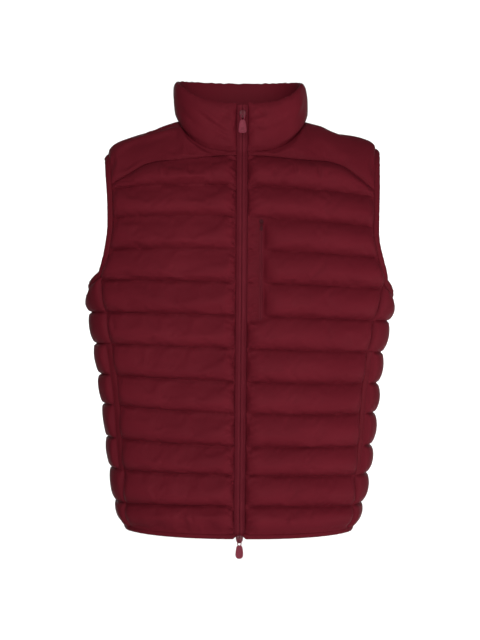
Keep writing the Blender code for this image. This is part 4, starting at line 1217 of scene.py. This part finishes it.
def capped(rings, ends):
    """Rings of points with a fan of triangles to a point at each end, as points and faces."""
    count, around = rings.shape[:2]
    turned = wrapped(count, around)
    foot, top = (np.full(around, count * around + k) for k in (0, 1))
    low = np.stack([turned[0, 1:], turned[0, :-1], foot], axis=-1)
    high = np.stack([turned[-1, :-1], turned[-1, 1:], top], axis=-1)
    return np.concatenate([rings.reshape(-1, 3), ends]), [quads(turned), low, high]


def bead(half, around, rings):
    """A closed rounded bead: rings of an ellipsoid along its z, with a fan at each end."""
    tilt = np.linspace(-np.pi / 2, np.pi / 2, rings + 2)[1:-1]
    turn = np.arange(around) * 2 * np.pi / around
    ring = np.stack(np.broadcast_arrays(np.cos(turn), np.sin(turn), 0.0), axis=-1)
    body = ring[None] * np.cos(tilt)[:, None, None] + np.sin(tilt)[:, None, None] * [0, 0, 1]
    points, faces = capped(body, [[0, 0, -1], [0, 0, 1]])
    return points * half, faces


def make_coil():
    """Turns of the coil: beads in two rows, half a pitch apart, hooked past the middle."""
    line, normals = (grid[:, 0] for grid in zip_grid([0.0], COIL_STEP))
    line, normals = even_path(line, False, COIL_PITCH, normals)
    normals = unit(normals)
    along = unit(np.gradient(line, axis=0))
    across = np.cross(along, normals)
    frames = np.stack([across, normals, along], axis=1)
    template, faces = bead(TURN_HALF, 6, 3)
    parts = []
    for flip, shift in ((1, 0.0), (-1, 0.5)):
        places = line + across * (COIL_OFFSET * flip) + normals * COIL_LIFT
        places = places + along * COIL_PITCH * shift
        parts.append(repeat(template, faces, places[:-1], frames[:-1]))
    points = np.concatenate([p for p, _ in parts])
    count = len(parts[0][0])
    both = [np.concatenate([a, b + count]) for a, b in zip(parts[0][1], parts[1][1])]
    fit(add_piece("zip_coil", hang(points), both, COIL), "zip_chain")


make_tape("zip_tape_left", 1)
make_tape("zip_tape_right", -1)
make_coil()


# ================================================================ sliders and pull tabs
# Enamelled metal sliders ride on the coil. Each has a bridge that holds a wire ring, and on
# the ring hangs a moulded rubber tab. The pocket's are the same at about half the size.

PLATE_HALF, PLATE_THICKNESS, PLATE_POINTS = (0.0058, 0.0068), 0.0042, 36
PLATE_POWERS, PLATE_TAPER = (2.8, 2.2), -0.0008
PLATE_RINGS = (  # inset from the outline, and height
    (0.0004, 0.0),
    (0.0, 0.0006),
    (0.0, 0.0024),
    (0.0003, 0.0034),
    (0.0009, 0.0040),
    (0.0018, PLATE_THICKNESS),
)
BRIDGE_HALF_WIDTH, BRIDGE_BAR, BRIDGE_POWER, BRIDGE_SUNK = 0.0011, 0.0014, 3.2, 0.0006
EYE_DEPTH, EYE_HALF_HEIGHT = 0.0024, 0.0036
HINGE_DEPTH = PLATE_THICKNESS + EYE_DEPTH / 2
RING_HALF, RING_WIRE, RING_POWER = (0.0028, 0.0052), 0.0008, 3
NECK_LENGTH, TAB_HALF, TAB_TAPER, TAB_THICKNESS = 0.0095, (0.0062, 0.0110), 0.0013, 0.0026
TAB_ROUNDING = 0.0009
TAB_QUARTER = ((0.1, 0.45), (0.45, 0.85), (1.0, 1.0))  # half of its rounded edge: in and up
TAB_HOLLOW = ((0.0019, 1.0), (0.0023, 0.7), (0.0030, 0.68))  # the sunk middle: inset and share up
RIBS, RIB_HALF, RIB_PITCH, RIB_PLACE = 3, (0.00035, 0.00045, 0.0026), 0.0016, 0.35
TOP_SLIDER = (0.0, -0.084538, 0.0015)
BOTTOM_SLIDER = (0.0, -0.106967, -0.693)
POCKET_SLIDER = (0.03152, -0.115927, -0.177186)
POCKET_TAB = (0.0040, 0.0080)

ENAMEL = plastic("enamelled_metal", (0.105, 0.010, 0.018), 0.45, 0.25, 0.00002)
POCKET_ENAMEL = plastic("dark_enamelled_metal", (0.062, 0.0065, 0.011), 0.6, 0.1, 0.00002)
RUBBER = plastic("moulded_rubber", (0.205, 0.026, 0.046), 0.55, 0.15, 0.00008)
POCKET_SET = (POCKET_ENAMEL, math.radians(6.742), 0.55)  # finish, tilt and scale


def plate(half, powers, taper, rings):
    """A rounded plate in X and Z: a superellipse, with a power above and one below, wider
    below by the taper, drawn in at each ring by its inset and set out along -Y by its height."""
    turn = np.linspace(0, 2 * np.pi, PLATE_POINTS, endpoint=False)
    cos, sin = np.cos(turn), np.sin(turn)
    power = np.where(sin > 0, *powers)
    z = half[1] * rounded(sin, power)
    x = (half[0] - taper * z / half[1]) * rounded(cos, power)
    edge = np.stack([x, z], axis=-1)
    run = run_of(edge, True)
    inward = unit(np.stack([-run[:, 1], run[:, 0]], axis=-1))
    flat = np.array([edge + inward * inset for inset, _ in rings])
    height = np.broadcast_to(np.array([h for _, h in rings])[:, None], flat.shape[:2])
    points = np.stack([flat[..., 0], -height, flat[..., 1]], axis=-1)
    return capped(points, points[[0, -1]].mean(axis=1))


def tube(path, across, half, closed, around=10):
    """A bar with an oval section carried along a path: path + across * cos + out * sin."""
    along = unit(run_of(path, closed))
    side = np.broadcast_to(np.array(across, float), along.shape)
    out = np.cross(along, side)
    turn = (np.arange(around) * 2 * np.pi / around)[:, None]
    ring = side[:, None] * (half[0] * np.cos(turn)) + out[:, None] * (half[1] * np.sin(turn))
    points = (path[:, None] + ring).reshape(-1, 3)
    turned = wrapped(len(path), around)
    if closed:
        return points, [quads(np.concatenate([turned, turned[:1]]))[:, ::-1]]
    return points, [quads(turned)[:, ::-1], turned[:1, :-1], turned[-1:, -2::-1]]


def joined(*shapes):
    """Several (points, faces) shapes as one."""
    points, faces, start = [], [], 0
    for some_points, some_faces in shapes:
        points.append(some_points)
        faces += [part + start for part in some_faces]
        start += len(some_points)
    return np.concatenate(points), faces


def placed(shape, place, tilt, scale, shift=(0, 0, 0)):
    """A shape moved by `shift` in its own frame, then scaled, tilted about X and put in place."""
    points = (shape[0] + np.array(shift)) * scale
    cos, sin = math.cos(tilt), math.sin(tilt)
    turn = np.array([[1, 0, 0], [0, cos, -sin], [0, sin, cos]])
    return points @ turn.T + np.array(place), shape[1]


def make_slider(name, node, place, material=ENAMEL, tilt=0.0, scale=1.0):
    """A slider: its plate, and the bridge, half a superellipse of bar that stands out from it."""
    turn = np.linspace(0, np.pi, 21)
    out = BRIDGE_SUNK - PLATE_THICKNESS
    out = out - (EYE_DEPTH + BRIDGE_BAR / 2 + BRIDGE_SUNK) * rounded(np.sin(turn), BRIDGE_POWER)
    up = (EYE_HALF_HEIGHT + BRIDGE_BAR / 2) * rounded(np.cos(turn), BRIDGE_POWER)
    loop = np.stack([0 * turn, out, up], axis=-1)
    bridge = tube(loop, (1, 0, 0), (BRIDGE_HALF_WIDTH, BRIDGE_BAR / 2), False)
    body = plate(PLATE_HALF, PLATE_POWERS, PLATE_TAPER, PLATE_RINGS)
    shape = placed(joined(body, bridge), place, tilt, scale)
    fit(add_piece(name, *shape, material, sharp=50), node)


def make_pull(name, node, place, body, corners, material=RUBBER, tilt=0.0, scale=1.0, half=TAB_HALF):
    """A wire ring, and below it a tab with rounded edges and a sunk middle. The large tabs
    have a few ribs across, and the pocket's small one is plain."""
    turn = np.linspace(0, 2 * np.pi, 32, endpoint=False)
    across = RING_HALF[0] * rounded(np.cos(turn), RING_POWER)
    up = -RING_HALF[1] + RING_HALF[1] * rounded(np.sin(turn), RING_POWER)
    loop = np.stack([across, 0 * turn, up], axis=-1)
    ring = tube(loop, (0, 1, 0), (RING_WIRE, RING_WIRE), True, 8)
    thick = TAB_THICKNESS / 2
    edge = [(inset, -up) for inset, up in TAB_QUARTER[::-1]] + [(0, 0), *TAB_QUARTER]
    rings = [(TAB_ROUNDING * inset, thick * height) for inset, height in edge]
    rings += [(inset, thick * height) for inset, height in TAB_HOLLOW]
    middle = -NECK_LENGTH - half[1]
    tab = plate(half, corners, TAB_TAPER * half[0] / TAB_HALF[0], rings)
    shapes = [placed(tab, (0, 0, middle), 0, 1), ring]
    rib, rib_faces = bead(RIB_HALF, 6, 5)
    for step in range(RIBS if scale == 1 else 0):
        up = middle - RIB_PLACE * half[1] + RIB_PITCH * (step - RIBS // 2)
        sunk = (0, -thick * TAB_HOLLOW[-1][1], up)
        shapes.append((rib[:, [2, 1, 0]] * [1, -1, 1] + sunk, [f[:, ::-1] for f in rib_faces]))
    shape = placed(joined(*shapes), place, tilt, scale, (0, -HINGE_DEPTH, 0))
    fit(add_piece(name, *shape, material, sharp=50), node, body)


make_slider("top_slider_enamel", "top_slider", TOP_SLIDER)
make_pull("top_pull_rubber", "top_pull_tab", TOP_SLIDER, "top_pull", (3.4, 4.6))
make_slider("bottom_slider_enamel", "bottom_slider", BOTTOM_SLIDER)
make_pull("bottom_pull_rubber", "bottom_pull_tab", BOTTOM_SLIDER, "bottom_pull", (4.6, 2.4))
make_slider("pocket_slider_enamel", "chest_pocket_slider", POCKET_SLIDER, *POCKET_SET)
pull = ("pocket_pull_rubber", "chest_pocket_pull", POCKET_SLIDER, "pocket_pull", (3.4, 3.4))
make_pull(*pull, *POCKET_SET, POCKET_TAB)


# ================================================================ pockets
# An upright chest pocket on the wearer's left closes with a covered zip: two folded lips of
# tape meet over the coil and leave a dark slit. Each side pocket has a narrow folded welt.

LIP_PLACES = (-0.0028, -0.0025, -0.0015, -0.0007, -0.0004, 0.0004, 0.0007, 0.0015, 0.0025, 0.0028)
LIP_HEIGHTS = (0.0006, 0.0012, 0.0014, 0.0014, 0.0002, 0.0002, 0.0014, 0.0014, 0.0012, 0.0006)
POCKET_ZIP_X = 0.0314
LIP_ROWS, LIP_LEVEL = 48, -0.679  # level at which the front's width is taken
LIP_SEWING, SEWING_SPAN = (-0.0060, 0.0052), 0.165
WELT_SHARES, WELT_COLUMNS, WELT_POWER = (0.08, 0.92), 9, 3.2
WELT_EDGE, WELT_HEIGHT, WELT_CUT = 0.0003, 0.0014, 0.010
WELT_SEWING, WELT_SEWN = 0.75, 0.3  # share of its height at which the sewing lies; its gathers


def make_chest_zip():
    """The lips over the front's flat part, and the lines of sewing beside them."""
    rows = np.linspace(*POCKET_ROWS, LIP_ROWS)
    x = POCKET_ZIP_X + np.array(LIP_PLACES)
    across = (x - ZIP_HALF_WIDTH) / (PANEL_EDGE.read("across", LIP_LEVEL) - ZIP_HALF_WIDTH)
    z, _ = row_heights(rows, across, YOKE_SEAM.read("front", x))
    inside = on_body(x, z, FRONT)
    normals = outward(inside, body_level, FRONT)
    seat = inside + normals * (SHELL_WALL + SEAM_GAP)
    outside = finer(seat + normals * np.array(LIP_HEIGHTS)[None, :, None])
    made = add_wall("chest_zip_lips", outside, seat, np.zeros(outside.shape[:2]), TAPE)
    fit(made, "chest_pocket_zip")
    x = POCKET_ZIP_X + np.array(LIP_SEWING)
    z, _ = row_heights(rows, (x - ZIP_HALF_WIDTH) / SEWING_SPAN, YOKE_SEAM.read("front", x))
    seat = on_body(x, z, FRONT)
    normals = outward(seat, body_level, FRONT)
    return seat + normals * SHELL_WALL, normals


def make_welt(name, side):
    """A welt: edge + (height - edge) * (1 - |across|^n)^(1/2) high, on the panel's flat strip."""
    rows, inside, normals = side[:3]
    kept = (rows >= WELT_ROWS[0] - 1e-9) & (rows <= WELT_ROWS[1] + 1e-9)
    flat = inside[kept] + normals[kept] * SHELL_WALL
    a, b, out = flat[:, :1], flat[:, [WELT_SEAM_COLUMN]], normals[kept][:, 1:2]
    share = np.linspace(*WELT_SHARES, WELT_COLUMNS)[None, :, None]
    seat = a + (b - a) * share + out * SEAM_GAP
    bulge = (1 - np.abs(np.linspace(-1, 1, WELT_COLUMNS)) ** WELT_POWER) ** 0.5
    outside = finer(seat + out * (WELT_EDGE + (WELT_HEIGHT - WELT_EDGE) * bulge)[None, :, None])
    sewn = np.full(outside.shape[:2], WELT_SEWN)
    made = add_wall(f"{name}_cloth", outside, seat, sewn, BINDING)
    fit(made, name)
    length, below = path_length(seat[:, WELT_COLUMNS // 2]), name.replace("pocket_welt", "panel")
    return seat[:, 1] + out[:, 0] * WELT_HEIGHT * WELT_SEWING, out[:, 0]


pocket_lines, pocket_out = make_chest_zip()
welt_left = make_welt("side_pocket_welt_left", side_left)
welt_right = make_welt("side_pocket_welt_right", side_right)


# ================================================================ sewing
# Lockstitch in matching polyester thread: along every quilting seam, beside the zip and the
# pocket, and along the yokes, the collar and the bindings.

STITCH_PITCH, STITCH_LIFT = 0.0031, 0.00012
STITCH_HALF = (0.00022, 0.00022, 0.0013)
ARMHOLE_SEWING, HEM_SEWING = (0.0024, 0.0044), (0.0022, 0.0050)  # in from the edge, and out
THREAD = woven("sewing_thread", (0.110, 0.0080, 0.0130), (0.120, 0.0092, 0.0145), 0.6, 2400.0)


def sew(name, *lines):
    """Stitches along each (points, normals) line: small beads at an even pitch, half sunk."""
    template, faces = bead(STITCH_HALF, 4, 2)
    shapes = []
    for points, normals in lines:
        points, normals = even_path(points, False, STITCH_PITCH, normals)
        along = unit(np.gradient(points, axis=0))
        out = unit(normals)
        across = unit(np.cross(along, out))
        out = np.cross(across, along)
        frames = np.stack([across, out, along], axis=1)
        shapes.append(repeat(template, faces, points + out * STITCH_LIFT, frames))
    points, faces = joined(*shapes)
    made = add_piece(name, hang(points), faces, THREAD)
    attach(made, "root")


def seam_lines(panel):
    """The quilting seams of a panel, on its outside."""
    rows = panel[0]
    on_seams = np.flatnonzero((rows == np.floor(rows)) & (rows > 0) & (rows < YOKE_LINE))
    return [(panel[3][2 * i], panel[4][2 * i]) for i in on_seams]


def binding_line(strip, reach, lift):
    """A line along a strip, `reach` in from its edge and `lift` above its seam."""
    stations, normals, inward = strip
    return stations + inward * reach + normals * lift, normals


for name, panel in (("left", front_left), ("right", front_right)):
    edges = ((panel[3][:, column], panel[4][:, column]) for column in (1, -3))
    sew(f"stitching_front_{name}", *seam_lines(panel), *edges)
sew("stitching_back", *seam_lines(back))
for name, panel in (("left", side_left), ("right", side_right)):
    sew(f"stitching_side_{name}", *seam_lines(panel)[:8])
pocket = ((pocket_lines[:, k], pocket_out[:, k]) for k in (0, 1))
sew("stitching_pocket", *pocket, welt_left, welt_right)
for name, yoke in (("left", yoke_left), ("right", yoke_right), ("back", yoke_back)):
    sew(f"stitching_yoke_{name}", (yoke[2][1], yoke[3][1]))
sew("stitching_collar", (collar[2][2], collar[3][2]))
for name, strip in (("left", binding_left), ("right", binding_right)):
    sew(f"stitching_armhole_{name}", binding_line(strip, *ARMHOLE_SEWING))
sew("stitching_hem", binding_line(hem, *HEM_SEWING))


# ================================================================ the studio
# A white paper sweep lies under the vest and curves up behind it. Soft square lights stand in
# front, low at one side and above, and two tall ones light the backdrop.

FILM_SIDE, LENS = 36.0, 82.72
EYE_DISTANCE, EYE_HEIGHT, EYE_SHIFT = 2.5, -0.3366, 0.00034
EYE_TURN, EYE_ROLL = math.radians(0.8), math.radians(0.46)
FLOOR, CEILING, SWEEP_RADIUS = -1.6, 4.5, 1.2
SWEEP_FRONT, SWEEP_BACK, SWEEP_HALF = -8.0, 2.0, 14.0
AMBIENT = 0.08
MIDDLE, BACKDROP = (0, 0, -0.35), (0, 3.2, -0.35)
LIGHTS = (  # name, place, aim, size and watts
    ("front", (0, -2.9, -0.35), MIDDLE, (1.0, 1.0), 48),
    ("right", (2.5, -0.6, -1.3), MIDDLE, (1.0, 1.0), 34),
    ("above", (-0.3, -2.05, 1.65), MIDDLE, (1.0, 1.0), 18),
    ("backdrop_left", (-1.7, 2.2, -0.35), BACKDROP, (0.6, 3.0), 48),
    ("backdrop_right", (1.7, 2.2, -0.35), BACKDROP, (0.6, 3.0), 48),
)


def add_camera():
    """A long lens at chest height, level and a touch to the wearer's right."""
    data = bpy.data.cameras.new("camera")
    data.sensor_width, data.lens = FILM_SIDE, LENS
    made = bpy.data.objects.new("camera", data)
    made.rotation_mode = "XYZ"
    across, back_off = math.sin(EYE_TURN), math.cos(EYE_TURN)
    made.location = (-EYE_DISTANCE * across - EYE_SHIFT, -EYE_DISTANCE * back_off, EYE_HEIGHT)
    made.rotation_euler = (math.pi / 2, -EYE_ROLL, -EYE_TURN)
    bpy.context.scene.collection.objects.link(made)
    bpy.context.scene.camera = made


def add_light(name, place, aim, size, watts):
    """A rectangular soft light that faces its aim."""
    data = bpy.data.lights.new(name, "AREA")
    data.shape = "RECTANGLE"
    data.size, data.size_y = size
    data.energy = watts
    made = bpy.data.objects.new(name, data)
    made.location = place
    ahead = np.array(aim, float) - place
    tilt = math.acos(-ahead[2] / np.linalg.norm(ahead))
    made.rotation_euler = (tilt, 0, math.atan2(ahead[1], ahead[0]) - math.pi / 2)
    bpy.context.scene.collection.objects.link(made)


def add_sweep():
    """A floor that curves up into a backdrop: z = floor, then a quarter circle, then upright."""
    turn = np.linspace(0, np.pi / 2, 17)
    back, up = SWEEP_RADIUS * np.sin(turn), SWEEP_RADIUS * (1 - np.cos(turn))
    y = np.concatenate([[SWEEP_FRONT], SWEEP_BACK + back, [SWEEP_BACK + SWEEP_RADIUS]])
    z = np.concatenate([[FLOOR], FLOOR + up, [CEILING]])
    x = np.linspace(-SWEEP_HALF, SWEEP_HALF, 3)
    points = np.stack(np.broadcast_arrays(x, y[:, None], z[:, None]), axis=-1)
    numbers = np.arange(points.shape[0] * 3).reshape(-1, 3)
    material, _, _ = finish("white_paper", Base_Color=(0.9, 0.9, 0.9, 1), Roughness=0.9)
    made = add_piece("studio_sweep", points.reshape(-1, 3), [quads(numbers)], material)


add_camera()
add_sweep()
world = bpy.data.worlds.new("studio")
world.use_nodes = True
world.node_tree.nodes["Background"].inputs["Color"].default_value = (1, 1, 1, 1)
world.node_tree.nodes["Background"].inputs["Strength"].default_value = AMBIENT
bpy.context.scene.world = world
for light in LIGHTS:
    add_light(*light)
bpy.context.scene.view_settings.view_transform = "Standard"
